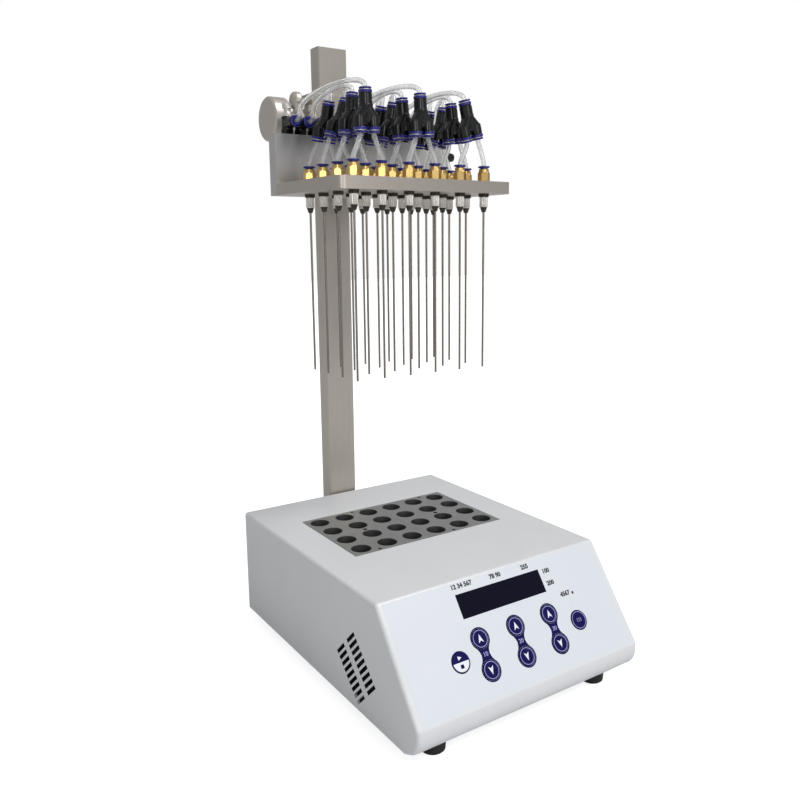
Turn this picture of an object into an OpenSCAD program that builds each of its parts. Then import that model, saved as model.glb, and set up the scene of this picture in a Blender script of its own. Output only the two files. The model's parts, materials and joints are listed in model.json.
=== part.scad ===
// Nitrogen sample evaporator: a heated bath of two twelve-well blocks, and a gas
// head with 24 needles that a rack and pinion raises and lowers on a rear column.
// X runs to the right, Y to the back and Z up. The origin is on the table, under
// the middle of the whole object.

/* [Housing] */
// Width of the housing
housing_w = 216; // [206:1:240]
// Depth of the housing, nose to back
housing_d = 289.5; // [284:0.5:300]
// Height of the housing above its feet
housing_h = 95; // [92:1:110]
// Depth of the sloped panel, ridge to nose
panel_run = 52.5; // [47.5:0.5:57.5]
// Drop of the sloped panel, ridge to nose
panel_drop = 71.7; // [66:0.1:75]
// Wall of the moulded shell
shell_wall = 2.5; // [2:0.1:3]
// Radius along the shell's outer edges
edge_r = 3; // [2:0.5:4]
// Radius under the nose
nose_r = 17; // [12:1:19]
// Thickness of the steel base plate
base_t = 1.5; // [1:0.1:2.5]
// Length of a cooling slot
vent_l = 15; // [10:0.5:16]
// Width of a cooling slot
vent_w = 3; // [2:0.1:3.4]
// Pitch of the cooling slots
vent_pitch = 5.08; // [4.6:0.01:5.4]

/* [Feet] */
// Height of a rubber foot
foot_h = 10; // [8:0.5:14]
// Diameter of a rubber foot at its top
foot_d = 20; // [15:0.5:21]
// Foot axis from the housing's side
foot_inset = 28; // [18:1:38]

/* [Heating blocks] */
// Width of the two blocks side by side
block_w = 150.2; // [148:0.2:156]
// Depth of a block
block_d = 97.4; // [95:0.2:102]
// Height of a block
block_h = 60; // [55:1:64]
// Centre of the wells from the housing's back
block_back = 105.4; // [102:0.2:110]
// Diameter of a well
well_d = 17; // [12:0.5:19]
// Depth of a well
well_depth = 48; // [40:1:50]
// Well and needle pitch across
pitch_x = 25.4; // [24:0.1:25.8]
// Well and needle pitch front to back
pitch_y = 24.6; // [23.6:0.1:24.9]

/* [Control panel] */
// Width of the keypad overlay
overlay_w = 206; // [190:1:208]
// Thickness of the keypad overlay
overlay_t = 0.6; // [0.4:0.1:0.8]
// Width of the display window
window_w = 82.4; // [70:0.2:90]
// Height of the display window
window_h = 18.4; // [15:0.2:20]
// Diameter of an arrow key
key_d = 14; // [11:0.2:15]
// Diameter of a round side key
side_key_d = 15.2; // [12:0.2:16]
// Travel of a key
key_travel = 0.5; // [0.3:0.1:0.6]
// Distance between neighbouring arrow pairs
arrow_pitch = 34.2; // [30:0.2:38]
// Distance between the two arrows of a pair
arrow_gap = 22.9; // [20:0.1:26]

/* [Column] */
// Width of the column
column_w = 30; // [26:0.5:34]
// Depth of the column
column_d = 16; // [14:0.5:20]
// Height of the column's top above the table
column_top = 531.5; // [528:0.5:560]
// Gap between the housing's back and the column
column_gap = 3; // [2:0.5:6]
// Chamfer along the column's edges
column_chamfer = 1.2; // [0.5:0.1:2]

/* [Lift] */
// Teeth of the pinion
pinion_teeth = 20; // [18:2:24]
// Module of the rack and pinion
tooth_m = 1; // [0.8:0.05:1.1]
// Height of the pinion's axis above the table
pinion_z = 467.4; // [460:0.2:472]
// Travel of the head downwards
travel_down = 170; // [140:1:175]
// Travel of the head upwards
travel_up = 40; // [20:1:40]
// Diameter of the lift knob
lift_knob_d = 40; // [36:1:44]
// Thickness of the lift knob
lift_knob_t = 17; // [12:0.5:18]
// Diameter of the lift shaft
shaft_d = 8; // [6:0.5:10]
// Diameter of the lock knob
lock_knob_d = 16; // [12:0.5:18]
// Width of the carriage
carriage_w = 52; // [50:1:56]
// Height of the carriage
carriage_h = 84; // [80:1:84]

/* [Gas head] */
// Width of the needle shelf
shelf_w = 169; // [163:1:176]
// Left end of the needle shelf from the middle
shelf_left = 83; // [81:0.5:86]
// Thickness of the needle shelf
shelf_t = 9.8; // [8:0.2:12]
// Height of the shelf's underside above the table
shelf_z = 394.2; // [388:0.2:398]
// Shelf in front of the first needle row
shelf_margin = 11; // [9:0.5:14]
// Thickness of the manifold
manifold_t = 13; // [12:0.5:16]
// Height of the manifold
manifold_h = 51.2; // [46:0.2:54]
// Right end of the manifold from the middle
manifold_right = 95; // [90:0.5:97]
// Outer diameter of a needle
needle_d = 1.8; // [1.2:0.1:2.2]
// Length of a needle
needle_l = 150; // [120:1:152]
// Width across flats of a brass fitting
brass_af = 9; // [8:0.2:10]
// Outer diameter of the gas tubes
tube_d = 4; // [3.5:0.1:4.2]
// Distance between the two outlets of a Y union
outlet_gap = 12; // [11:0.2:12.6]
// Height of the Y unions' outlets above the table
union_z = 436.5; // [433:0.5:439]
// Pitch of the flow-control valves
valve_pitch = 12.33; // [12:0.01:12.6]
// Height of the valve port above the manifold
port_rise = 9.6; // [9:0.1:11]

/* [Hidden] */
$fn = 48;

// Grid of wells and needles
cols = 6;
rows = 4;

// Fits
free_fit = 0.3; // around pieces that move or lift out
run_fit = 0.1; // around shafts and on the column
seat_fit = 0.1; // around screws and shanks

// Heights and places that follow from the sizes above
deck_z = foot_h + housing_h;
pinion_r = tooth_m * pinion_teeth / 2;
overall_d = housing_d + column_gap + column_d - tooth_m + pinion_r + lift_knob_d / 2;
nose_y = -overall_d / 2;
back_y = nose_y + housing_d;
ridge_y = nose_y + panel_run;
nose_top_z = deck_z - panel_drop;
slope = atan(panel_drop / panel_run);
panel_l = norm([panel_run, panel_drop]);
lip_y = nose_y + nose_r + 1.5; // front edge of the opening under the shell
inner_x = housing_w / 2 - shell_wall;
plate_z = foot_h + base_t; // upper face of the base plate
block_y = back_y - block_back;
block_z = deck_z - block_h;
column_y = back_y + column_gap;
column_back = column_y + column_d;
column_mid = column_y + column_d / 2;
pinion_y = column_back - tooth_m + pinion_r;

function well_x(i) = (i - (cols - 1) / 2) * pitch_x;
function well_y(j) = block_y + (j - (rows - 1) / 2) * pitch_y;

// ---- shared forms ----

// Ball whose poles and sides lie exactly on its radius
module ball(r) rotate_extrude($fn = 24) polygon([for (a = [-90:15:90]) r * [cos(a), sin(a)]]);

module rounded_plate(w, d, t, r) linear_extrude(t) {
    square([w - 2 * r, d], center = true);
    square([w, d - 2 * r], center = true);
    for (sx = [-1, 1], sy = [-1, 1]) translate([sx * (w / 2 - r), sy * (d / 2 - r)]) circle(r);
}

// Extrudes a profile drawn in (Y, Z) along X, centred on x = 0
module along_x(w) translate([-w / 2, 0, 0]) rotate([90, 0, 90]) linear_extrude(w) children();

// Turns a solid that stands on Z so that it points along +X, -Y or +Y
module to_x() rotate([0, 90, 0]) children();
module to_front() rotate([90, 0, 0]) children();
module to_back() rotate([-90, 0, 0]) children();

// Frame on the sloped panel: x across, s down the slope from the ridge, n outwards
module on_panel(x, s, n = 0) translate([x, ridge_y, deck_z]) rotate([slope, 0, 0])
    translate([0, -s, n]) children();

// Pan-head screw that points up, its head's seat at z = 0
module screw(d, l) {
    cylinder(d = d, h = l);
    translate([0, 0, -0.6 * d]) difference() {
        cylinder(d = 1.9 * d, h = 0.6 * d);
        translate([0, 0, -1]) cylinder(d = 0.95 * d, h = 1 + 0.35 * d, $fn = 6);
    }
}

// Tube swept along points, with flat ends
sides = 8;
function unit(v) = v / norm(v);
function tangent(p, k) = unit(p[min(k + 1, len(p) - 1)] - p[max(k - 1, 0)]);
function ring(c, t, side, r) = let (u = unit(cross(t, side)), v = cross(t, u))
    [for (i = [0:sides - 1]) c + r * (cos(i * 360 / sides) * u + sin(i * 360 / sides) * v)];
module sweep(p, side, r) {
    n = len(p);
    pts = [for (k = [0:n - 1]) each ring(p[k], tangent(p, k), side, r)];
    walls = [for (k = [0:n - 2], i = [0:sides - 1]) let (j = (i + 1) % sides)
        each [[k * sides + i, (k + 1) * sides + i, k * sides + j],
              [k * sides + j, (k + 1) * sides + i, (k + 1) * sides + j]]];
    first = [for (i = [0:sides - 1]) i];
    last = [for (i = [0:sides - 1]) n * sides - 1 - i];
    polyhedron(points = pts, faces = concat(walls, [first, last]));
}
function bezier(a, b, c, d, t) = pow(1 - t, 3) * a + 3 * pow(1 - t, 2) * t * b
    + 3 * (1 - t) * t * t * c + t * t * t * d;

// ---- housing ----

// Lower front corner of the side profile, at a radius about the nose's centre
function nose_arc(r, step) = [for (a = [0:step:90])
    [nose_y + nose_r - r * cos(a), foot_h + nose_r - r * sin(a)]];

module outer_form() hull() for (sx = [-1, 1]) {
    x = sx * (housing_w / 2 - edge_r);
    translate([x, back_y - edge_r, deck_z - edge_r]) ball(edge_r);
    translate([x, ridge_y + edge_r * tan(slope / 2), deck_z - edge_r]) ball(edge_r);
    translate([x, nose_y + edge_r, nose_top_z - edge_r * (1 - sin(slope)) / cos(slope)]) ball(edge_r);
    for (a = [0:15:75]) translate([x, nose_y + nose_r - (nose_r - edge_r) * cos(a),
        foot_h + nose_r - (nose_r - edge_r) * sin(a)]) ball(edge_r);
    translate([x, nose_y + nose_r, foot_h]) cylinder(r = edge_r, h = edge_r, $fn = 24);
    translate([x, back_y - edge_r, foot_h]) cylinder(r = edge_r, h = edge_r, $fn = 24);
}

// Cavity, every face one wall inside the outer form, open below
module cavity_form() {
    w = shell_wall;
    along_x(2 * inner_x) polygon(concat(
        [[back_y - w, foot_h + w], [back_y - w, deck_z - w],
         [ridge_y + w * tan(slope / 2), deck_z - w],
         [nose_y + w, nose_top_z - w * (1 - sin(slope)) / cos(slope)]],
        nose_arc(nose_r - w, 15)));
    translate([-inner_x, lip_y, foot_h - 1]) cube([2 * inner_x, back_y - w - lip_y, w + 2]);
}

// Two columns of slots that lean at 45 degrees, on both sides
vent_count = 9;
vent_y = nose_y + 81.7;
vent_z = foot_h + 32.4;
vent_spacing = 22;
module vent_slots() for (c = [-0.5, 0.5], k = [0:vent_count - 1])
    translate([0, vent_y, vent_z]) rotate([45, 0, 0])
        translate([0, (k - (vent_count - 1) / 2) * vent_pitch, -c * vent_spacing])
            cube([housing_w + 2, vent_w, vent_l], center = true);

// Keys as [name, x, s down the slope, diameter]
display_x = -1.2;
display_s = 19.6;
arrow_s = 45.2;
start_key = [-57.2, 55.9];
menu_key = [59.6, 57];
function arrow_x(k) = -0.6 + (k - 1) * arrow_pitch;
KEYS = concat(
    [for (k = [0:2]) each [[str("key_up_", k + 1), arrow_x(k), arrow_s, key_d],
                           [str("key_down_", k + 1), arrow_x(k), arrow_s + arrow_gap, key_d]]],
    [["key_start", start_key[0], start_key[1], side_key_d],
     ["key_menu", menu_key[0], menu_key[1], side_key_d]]);

board_n = -12; // outer face of the control board, below the panel
board_w = 150;
board_t = 1.6;
board_s = [8, panel_l - 9];
board_screw = [board_w / 2 - 5, 5]; // from the board's middle and from its edges
module each_board_post(n) for (sx = [-1, 1], e = [0, 1])
    on_panel(sx * board_screw[0], board_s[e] + (1 - 2 * e) * board_screw[1], n) children();

// Lugs that the base plate is screwed to
lug_h = 11;
lug_w = 11;
lug_x = inner_x - 5; // screw axis
lug_y = [lip_y + 26, (lip_y + back_y) / 2, back_y - 26];
module each_lug(z) for (sx = [-1, 1], y = lug_y) translate([sx * lug_x, y, z]) children();

// Openings in the back for the power inlet and the bracket's screws
inlet_x = -64;
inlet_z = foot_h + 45;
inlet_body = [44, 54, 28];
bracket_z = foot_h + 8;
bracket_h = 60;
bracket_wing = 72;
wing_t = 5;
screw_m3 = 3;
screw_m4 = 4;
// Screws through the bracket's wings, and through its back into the column
module each_wing_screw(y) for (sx = [-1, 1], sz = [-1, 1])
    translate([sx * (bracket_wing / 2 - 6), y, bracket_z + bracket_h / 2 + sz * (bracket_h / 2 - 9)])
        to_front() children();
module each_column_screw(y) for (sz = [-1, 1])
    translate([0, y, bracket_z + bracket_h / 2 + 4 + sz * 14]) to_front() children();

module housing_shell() color("whitesmoke") {
    difference() {
        outer_form();
        cavity_form();
        translate([0, block_y, deck_z])
            cube([block_w + 4 * free_fit, block_d + 4 * free_fit, 3 * shell_wall], center = true);
        vent_slots();
        on_panel(0, 0) {
            translate([-overlay_w / 2, -panel_l + 1.6, -overlay_t]) cube([overlay_w, panel_l - 3.2, 4]);
        }
        on_panel(display_x, display_s) cube([window_w, window_h, 20], center = true);
        for (k = KEYS) on_panel(k[1], k[2], -10) cylinder(d = k[3] + 2 * free_fit, h = 20);
        translate([inlet_x, back_y, inlet_z]) cube([inlet_body[0], 20, inlet_body[1]], center = true);
        each_wing_screw(back_y + 1) cylinder(d = screw_m4 + 2 * seat_fit, h = shell_wall + 2);
    }
    difference() {
        each_lug(plate_z + lug_h / 2) cube([lug_w, lug_w, lug_h], center = true);
        each_lug(plate_z - 1) cylinder(d = screw_m3 + 2 * seat_fit, h = lug_h - 1);
    }
    // posts that carry the control board
    difference() {
        each_board_post(board_n) cylinder(d = 7, h = -board_n - shell_wall + 0.5);
        each_board_post(board_n - 1) cylinder(d = screw_m3 + 2 * seat_fit, h = 8);
    }
}

foot_y = [nose_y + 22.5, back_y - 26];
foot_recess = 4;
module each_foot(z) for (sx = [-1, 1], y = foot_y)
    translate([sx * (housing_w / 2 - foot_inset), y, z]) children();
module base_plate() color("silver") difference() {
    translate([-(inner_x - free_fit), lip_y + free_fit, foot_h])
        cube([2 * (inner_x - free_fit), back_y - shell_wall - lip_y - 2 * free_fit, base_t]);
    each_lug(foot_h - 1) cylinder(d = screw_m3 + 2 * seat_fit, h = base_t + 2);
    each_foot(foot_h - 1) cylinder(d = screw_m3 + 2 * seat_fit, h = base_t + 2);
}

module rubber_feet() color("#202020") each_foot(0)
    rotate_extrude() polygon([[foot_d / 4, 0], [foot_d / 2 - 1.5, 0], [foot_d / 2 - 0.7, 0.8],
        [foot_d / 2, foot_h], [screw_m3 / 2 + seat_fit, foot_h], [screw_m3 / 2 + seat_fit, foot_recess],
        [foot_d / 4, foot_recess]]);

module case_screws() color("silver") {
    each_lug(foot_h) screw(screw_m3, lug_h - 2);
    each_foot(foot_recess) screw(screw_m3, plate_z - foot_recess + 3);
    each_board_post(board_n - board_t) screw(screw_m3, 8);
}

// ---- control panel ----

module keypad_overlay() color("#dfe3ec") on_panel(0, 0) difference() {
    translate([-overlay_w / 2, -panel_l + 1.6, -overlay_t]) cube([overlay_w, panel_l - 3.2, overlay_t]);
    translate([display_x, -display_s, 0]) cube([window_w, window_h, 4], center = true);
    for (k = KEYS) translate([k[1], -k[2], -2]) cylinder(d = k[3] + 2 * free_fit, h = 4);
}

module display_window() color("#181828") on_panel(display_x, display_s, -shell_wall)
    translate([-window_w / 2, -window_h / 2, 0]) cube([window_w, window_h, shell_wall]);

// A key: cap, flange under the shell, and stem down to its switch
flange_t = 1;
key_rise = 0.3;
stem_end = -board_n - 3.6;
module key(x, s, d) color("#1e1c6e") on_panel(x, s) rotate_extrude() polygon([
    [0, -stem_end + key_travel + 0.2], [2, -stem_end + key_travel + 0.2],
    [2, -shell_wall - free_fit - flange_t], [d / 2 + 1.2, -shell_wall - free_fit - flange_t],
    [d / 2 + 1.2, -shell_wall - free_fit], [d / 2, -shell_wall - free_fit],
    [d / 2, key_rise - 0.3], [d / 2 - 0.4, key_rise], [0, key_rise]]);

module control_board() color("#1c5c38") {
    difference() {
        on_panel(0, board_s[1], board_n - board_t) translate([-board_w / 2, 0, 0])
            cube([board_w, board_s[1] - board_s[0], board_t]);
        each_board_post(board_n - 2 * board_t) cylinder(d = screw_m3 + 2 * seat_fit, h = 3 * board_t);
    }
    // display module under the window
    on_panel(display_x, display_s, board_n) translate([-window_w / 2 + 1, -window_h / 2 + 0.5, 0])
        cube([window_w - 2, window_h - 1, -board_n - shell_wall - 0.2]);
    // a switch under each key
    for (k = KEYS) on_panel(k[1], k[2], board_n) {
        translate([-3, -3, 0]) cube([6, 6, 3.1]);
        cylinder(d = 3.4, h = 3.5);
    }
}

// ---- electrics on the base plate ----

// Supply board on four posts: a transformer, two capacitors and a finned heat sink
supply_at = [14, back_y - shell_wall - 38];
supply_size = [76, 30];
supply_post = 6;
module power_supply() color("#3f6a4a") translate([supply_at[0], supply_at[1], plate_z]) {
    for (x = [4, supply_size[0] - 4], y = [4, supply_size[1] - 4])
        translate([x, y, 0]) cylinder(d = 6, h = supply_post);
    translate([0, 0, supply_post]) {
        cube([supply_size[0], supply_size[1], board_t]);
        translate([8, 6, board_t]) cube([24, 20, 20]);
        for (k = [0:1]) translate([43, 9 + 13 * k, board_t]) cylinder(d = 10, h = 18);
        for (k = [0:3]) translate([53 + 5 * k, 5, board_t]) cube([1.6, 20, 16]);
        translate([53, 5, board_t]) cube([16.6, 20, 3]);
    }
}

mat_t = 3;
tray_wall = 8;
module heater_mat() color("#b5442c") translate([-block_w / 2, block_y - block_d / 2, block_z - mat_t])
    cube([block_w, block_d, mat_t]);

module insulation_tray() color("#e6dfc8") difference() {
    translate([-block_w / 2 - tray_wall, block_y - block_d / 2 - tray_wall, plate_z])
        cube([block_w + 2 * tray_wall, block_d + 2 * tray_wall, deck_z - shell_wall - 4 - plate_z]);
    translate([-block_w / 2 - free_fit, block_y - block_d / 2 - free_fit, block_z - mat_t])
        cube([block_w + 2 * free_fit, block_d + 2 * free_fit, block_h + mat_t + 1]);
    for (sx = [-1, 1]) translate([sx * block_w / 4, block_y, block_z + probe_z])
        to_back() cylinder(d = probe_d + 2, h = block_d);
}

// One block of three by four wells, a lifting hole and two thermometer holes, all
// bored right through its body, which is brazed on a thick base
block_split = 0.2;
braze_seam = 0.1;
well_floor = deck_z - well_depth;
lift_hole_d = 4.2;
gauge_hole_d = 3.2;
probe_d = 4;
probe_z = 5;
probe_l = 34;
probe_y = block_y + block_d / 2 - probe_l + 8; // inner end of a probe
module heating_block(side) color("#787874") {
    cx = side * block_w / 4;
    x = cx - block_w / 4 + block_split / 2;
    w = block_w / 2 - block_split;
    difference() {
        translate([x, block_y - block_d / 2, well_floor]) cube([w, block_d, well_depth]);
        for (i = [0:cols / 2 - 1], j = [0:rows - 1])
            translate([well_x(i + (side > 0 ? cols / 2 : 0)), well_y(j), well_floor - 1])
                cylinder(d = well_d, h = well_depth + 2);
        translate([side * pitch_x * 1.5, block_y, well_floor - 1])
            cylinder(d = lift_hole_d, h = well_depth + 2);
        for (sy = [-1, 1])
            translate([side * pitch_x * 1.5 + sy * pitch_x / 2, block_y + sy * (block_d / 2 - 3),
                well_floor - 1]) cylinder(d = gauge_hole_d, h = well_depth + 2);
    }
    difference() {
        translate([x, block_y - block_d / 2, block_z])
            cube([w, block_d, well_floor - braze_seam - block_z]);
        translate([cx, probe_y, block_z + probe_z]) to_back()
            cylinder(d = probe_d + 2 * seat_fit, h = probe_l);
    }
}
module heating_block_left() heating_block(-1);
module heating_block_right() heating_block(1);

module temperature_probes() color("silver") for (sx = [-1, 1])
    translate([sx * block_w / 4, probe_y, block_z + probe_z])
        to_back() cylinder(d = probe_d, h = probe_l + tray_wall);

// ---- power inlet: socket, fuse drawer and rocker in one frame ----

flange = [50, 60, 2.5];
socket = [24.2, 16.8, 17];
socket_dz = -2;
drawer = [24, 8.4, 22];
drawer_dz = -20;
rocker = [20, 13.6, 6];
rocker_dz = 17;
rocker_tilt = 8;
module on_inlet(dz = 0) translate([inlet_x, back_y, inlet_z + dz]) children();

module power_inlet() color("#222226") on_inlet() difference() {
    union() {
        to_back() rounded_plate(flange[0], flange[1], flange[2], 2.5);
        to_front() translate([0, 0, -0.01]) translate([-inlet_body[0] / 2, -inlet_body[1] / 2, 0])
            cube([inlet_body[0], inlet_body[1], inlet_body[2]]);
        // collar round the socket
        translate([0, flange[2], socket_dz]) to_back() rounded_plate(socket[0] + 5, socket[1] + 5, 1.5, 3);
    }
    // socket with two cut corners
    translate([0, flange[2] + 2, socket_dz]) to_front() linear_extrude(socket[2] + 2) polygon([
        [-socket[0] / 2, -socket[1] / 2], [socket[0] / 2, -socket[1] / 2], [socket[0] / 2, socket[1] / 2 - 5],
        [socket[0] / 2 - 5, socket[1] / 2], [-socket[0] / 2 + 5, socket[1] / 2],
        [-socket[0] / 2, socket[1] / 2 - 5]]);
    translate([-drawer[0] / 2 - free_fit, flange[2] - drawer[2], drawer_dz - drawer[1] / 2 - free_fit])
        cube([drawer[0] + 2 * free_fit, drawer[2] + 5, drawer[1] + 2 * free_fit]);
    translate([-rocker[0] / 2 - free_fit, flange[2] - 15, rocker_dz - rocker[1] / 2 - 0.8])
        cube([rocker[0] + 2 * free_fit, 20, rocker[1] + 1.6]);
    // pins stand in these
    for (p = PINS) translate([p[0], flange[2] - socket[2] - 3, socket_dz + p[1]])
        cube([2, 10, 4], center = true);
}

PINS = [[-7, -2], [0, 2], [7, -2]];
module inlet_pins() color("#d8d2c0") on_inlet() for (p = PINS)
    translate([p[0] - 1, flange[2] - socket[2] - 8, socket_dz + p[1] - 2]) cube([2, socket[2] + 5, 4]);

module fuse_drawer() color("#222226") on_inlet(drawer_dz) difference() {
    union() {
        translate([-drawer[0] / 2, flange[2] + free_fit - drawer[2], -drawer[1] / 2])
            cube([drawer[0], drawer[2], drawer[1]]);
        translate([-drawer[0] / 2 + 1, flange[2] + free_fit - 0.01, -drawer[1] / 2 + 1])
            cube([drawer[0] - 2, 1.2, drawer[1] - 2]);
    }
    translate([-4, flange[2] + 0.7, -1]) cube([8, 2, 2]);
}

// Rocker: two flats that meet over the pivot, the ends rounded about it
rocker_pivot = flange[2] - 1.5;
module power_rocker() color("#16161a") on_inlet(rocker_dz) translate([0, rocker_pivot, 0])
    rotate([rocker_tilt, 0, 0]) along_x(rocker[0]) intersection() {
        circle(rocker[1] / 2);
        polygon([[-5, -8], [2.2 + 8 * tan(rocker_tilt), -8], [2.2, 0], [2.2 + 8 * tan(rocker_tilt), 8],
            [-5, 8]]);
    }

// ---- column ----

rack_w = 8;
rack_depth = 4;
rack_z0 = pinion_z - travel_down - 14;
rack_z1 = min(pinion_z + travel_up + 14, column_top - 6);
column_z = bracket_z + 4;
bracket_back = column_back + 5;
// Chamfered outline of the column, grown by g
module column_outline(g = 0) {
    w = column_w / 2 + g;
    d = column_d / 2 + g;
    c = column_chamfer;
    translate([0, column_mid]) polygon([
        [-w, c - d], [c - w, -d], [w - c, -d], [w, c - d], [w, d - c], [w - c, d], [c - w, d], [-w, d - c]]);
}

module column() color("#a39c94") difference() {
    translate([0, 0, column_z]) linear_extrude(column_top - column_z) column_outline();
    translate([-rack_w / 2, column_back - rack_depth, rack_z0])
        cube([rack_w, rack_depth + 1, rack_z1 - rack_z0]);
    each_column_screw(column_back + 1) cylinder(d = screw_m4 + 2 * seat_fit, h = 11);
}

module column_bracket() color("#8f8a83") difference() {
    union() {
        translate([0, back_y + wing_t, bracket_z + bracket_h / 2]) to_front()
            rounded_plate(bracket_wing, bracket_h, wing_t, 4);
        translate([-column_w / 2 - 6, back_y + 1, bracket_z])
            cube([column_w + 12, bracket_back - back_y - 1, bracket_h]);
    }
    translate([0, 0, column_z]) linear_extrude(bracket_h) column_outline();
    each_wing_screw(back_y + wing_t + 1) cylinder(d = screw_m4 + 2 * seat_fit, h = wing_t + 2);
    each_column_screw(bracket_back + 1) cylinder(d = screw_m4 + 2 * seat_fit, h = 8);
}

module bracket_screws() color("silver") {
    each_wing_screw(back_y + wing_t) screw(screw_m4, wing_t + shell_wall + 3);
    each_column_screw(bracket_back) screw(screw_m4, 13);
}

// Straight-sided rack teeth, a space facing the pinion's axis at rest
pressure = 20;
backlash = 0.2;
tooth_pitch = PI * tooth_m;
rack_root_y = column_back - 2.25 * tooth_m;
function rack_half(h) = tooth_pitch / 4 - backlash / 4 - h * tan(pressure);
rack_lo = floor((pinion_z - rack_z0 - 0.2) / tooth_pitch - 1);
rack_hi = floor((rack_z1 - pinion_z - 0.2) / tooth_pitch - 1);
module column_rack() color("#8a8a88") along_x(rack_w - 2 * seat_fit) polygon(concat(
    [[column_back - rack_depth, rack_z1 - seat_fit], [column_back - rack_depth, rack_z0 + seat_fit],
     [rack_root_y, rack_z0 + seat_fit]],
    [for (k = [-rack_lo:rack_hi]) let (z = pinion_z + (k - 0.5) * tooth_pitch) each [
        [rack_root_y, z - rack_half(-1.25 * tooth_m)], [column_back, z - rack_half(tooth_m)],
        [column_back, z + rack_half(tooth_m)], [rack_root_y, z + rack_half(-1.25 * tooth_m)]]],
    [[rack_root_y, rack_z1 - seat_fit]]));

// ---- lift ----

// Involute tooth flanks: half the tooth's angle at radius r
function inv(a) = tan(a) - a * PI / 180;
base_r = pinion_r * cos(pressure);
tip_r = pinion_r + 0.95 * tooth_m;
root_r = pinion_r - 1.25 * tooth_m;
function half_tooth(r) = (tooth_pitch / 2 - backlash / 2) / (2 * pinion_r) * 180 / PI
    + (inv(pressure) - inv(acos(min(1, base_r / r)))) * 180 / PI;
flank = [for (t = [0:0.25:1]) base_r + t * (tip_r - base_r)];
function polar(r, a) = r * [cos(a), sin(a)];
module pinion_outline() polygon([for (k = [0:pinion_teeth - 1]) let (a = k * 360 / pinion_teeth)
    each concat([polar(root_r, a - half_tooth(base_r) - 1)],
        [for (r = flank) polar(r, a - half_tooth(r))],
        [for (i = [len(flank) - 1:-1:0]) polar(flank[i], a + half_tooth(flank[i]))],
        [polar(root_r, a + half_tooth(base_r) + 1)])]);

lift_face_x = -57;
shaft_seat = 4; // solid disc of the knob in front of the shaft
lift_back_x = lift_face_x + lift_knob_t;
boss_x = lift_back_x + free_fit;
gear_w = rack_w - 1;
module pinion_shaft() color("#b8b8b4") translate([0, pinion_y, pinion_z]) {
    translate([lift_face_x + shaft_seat, 0, 0]) to_x()
        cylinder(d = shaft_d, h = carriage_w / 2 + free_fit + 1 - lift_face_x - shaft_seat);
    along_x(gear_w) difference() {
        pinion_outline();
        circle(d = shaft_d - 1);
    }
    translate([carriage_w / 2 + free_fit, 0, 0]) to_x() cylinder(d = shaft_d + 6, h = 1.5);
}

module lift_knob() color("#8f8b84") translate([lift_face_x, pinion_y, pinion_z]) to_x() difference() {
    rotate_extrude($fn = 96) polygon([[0, 0], [lift_knob_d / 2 - 1.5, 0], [lift_knob_d / 2, 1.5],
        [lift_knob_d / 2, lift_knob_t - 1], [lift_knob_d / 2 - 1, lift_knob_t], [0, lift_knob_t]]);
    translate([0, 0, shaft_seat]) cylinder(d = shaft_d, h = lift_knob_t);
}

carriage_z = shelf_z + 10.8;
lock_z = carriage_z + carriage_h - 6;
lock_face_x = -39.3;
lock_knob_t = 8.3;
lock_shank = 6;
module lock_knob() color("#8f8b84") translate([lock_face_x, column_mid, lock_z]) to_x() union() {
    rotate_extrude() polygon(concat([[0, 0], [lock_knob_d / 2 - 3.5, 0]],
        [for (a = [30:30:90]) [lock_knob_d / 2 - 3.5 + 3.5 * sin(a), 3.5 - 3.5 * cos(a)]],
        [[lock_knob_d / 2, lock_knob_t - 1.5], [lock_knob_d / 2 - 1.5, lock_knob_t], [0, lock_knob_t]]));
    translate([0, 0, lock_knob_t - 0.5])
        cylinder(d = lock_shank, h = -column_w / 2 - free_fit - lock_face_x - lock_knob_t + 0.5);
}

// Carriage: a guide round the column, a neck to the manifold and the pinion's housing
pad_t = 1.5;
pad_gap = pad_t + run_fit;
manifold_gap = 60.5; // from the wells' middle to the manifold's front
manifold_y = block_y + manifold_gap;
manifold_back = manifold_y + manifold_t;
guide_y = column_y - 7;
guide_back = column_back + 8;
neck_w = 36;
neck_h = manifold_h - 14;
gear_pocket = tip_r + 1;
module carriage() color("#98938b") difference() {
    union() {
        translate([-carriage_w / 2, guide_y, carriage_z])
            cube([carriage_w, guide_back - guide_y, carriage_h]);
        translate([-neck_w / 2, manifold_back, carriage_z])
            cube([neck_w, guide_y - manifold_back + 1, neck_h]);
        translate([-carriage_w / 2, pinion_y, pinion_z]) to_x()
            cylinder(r = gear_pocket + 2.5, h = carriage_w);
        translate([boss_x, pinion_y, pinion_z]) to_x() cylinder(d = shaft_d + 8, h = -boss_x);
    }
    translate([0, 0, carriage_z - 1]) linear_extrude(carriage_h + 2) column_outline(pad_gap);
    translate([-gear_w / 2 - 0.6, pinion_y, pinion_z]) to_x() cylinder(r = gear_pocket, h = gear_w + 1.2);
    translate([boss_x - 1, pinion_y, pinion_z]) to_x()
        cylinder(d = shaft_d + 2 * run_fit, h = carriage_w - boss_x);
    translate([-carriage_w, column_mid, lock_z]) to_x()
        cylinder(d = lock_shank + 2 * run_fit, h = carriage_w);
    each_neck_screw(manifold_back - 1)
        cylinder(d = screw_m4 + 2 * seat_fit, h = head_screw_l - manifold_t + 4);
    // pocket that lightens the neck, open below
    translate([-neck_w / 2 + 6, manifold_back + 6, carriage_z - 1])
        cube([neck_w - 12, guide_y - manifold_back - 8, neck_h - 5]);
}

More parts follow.
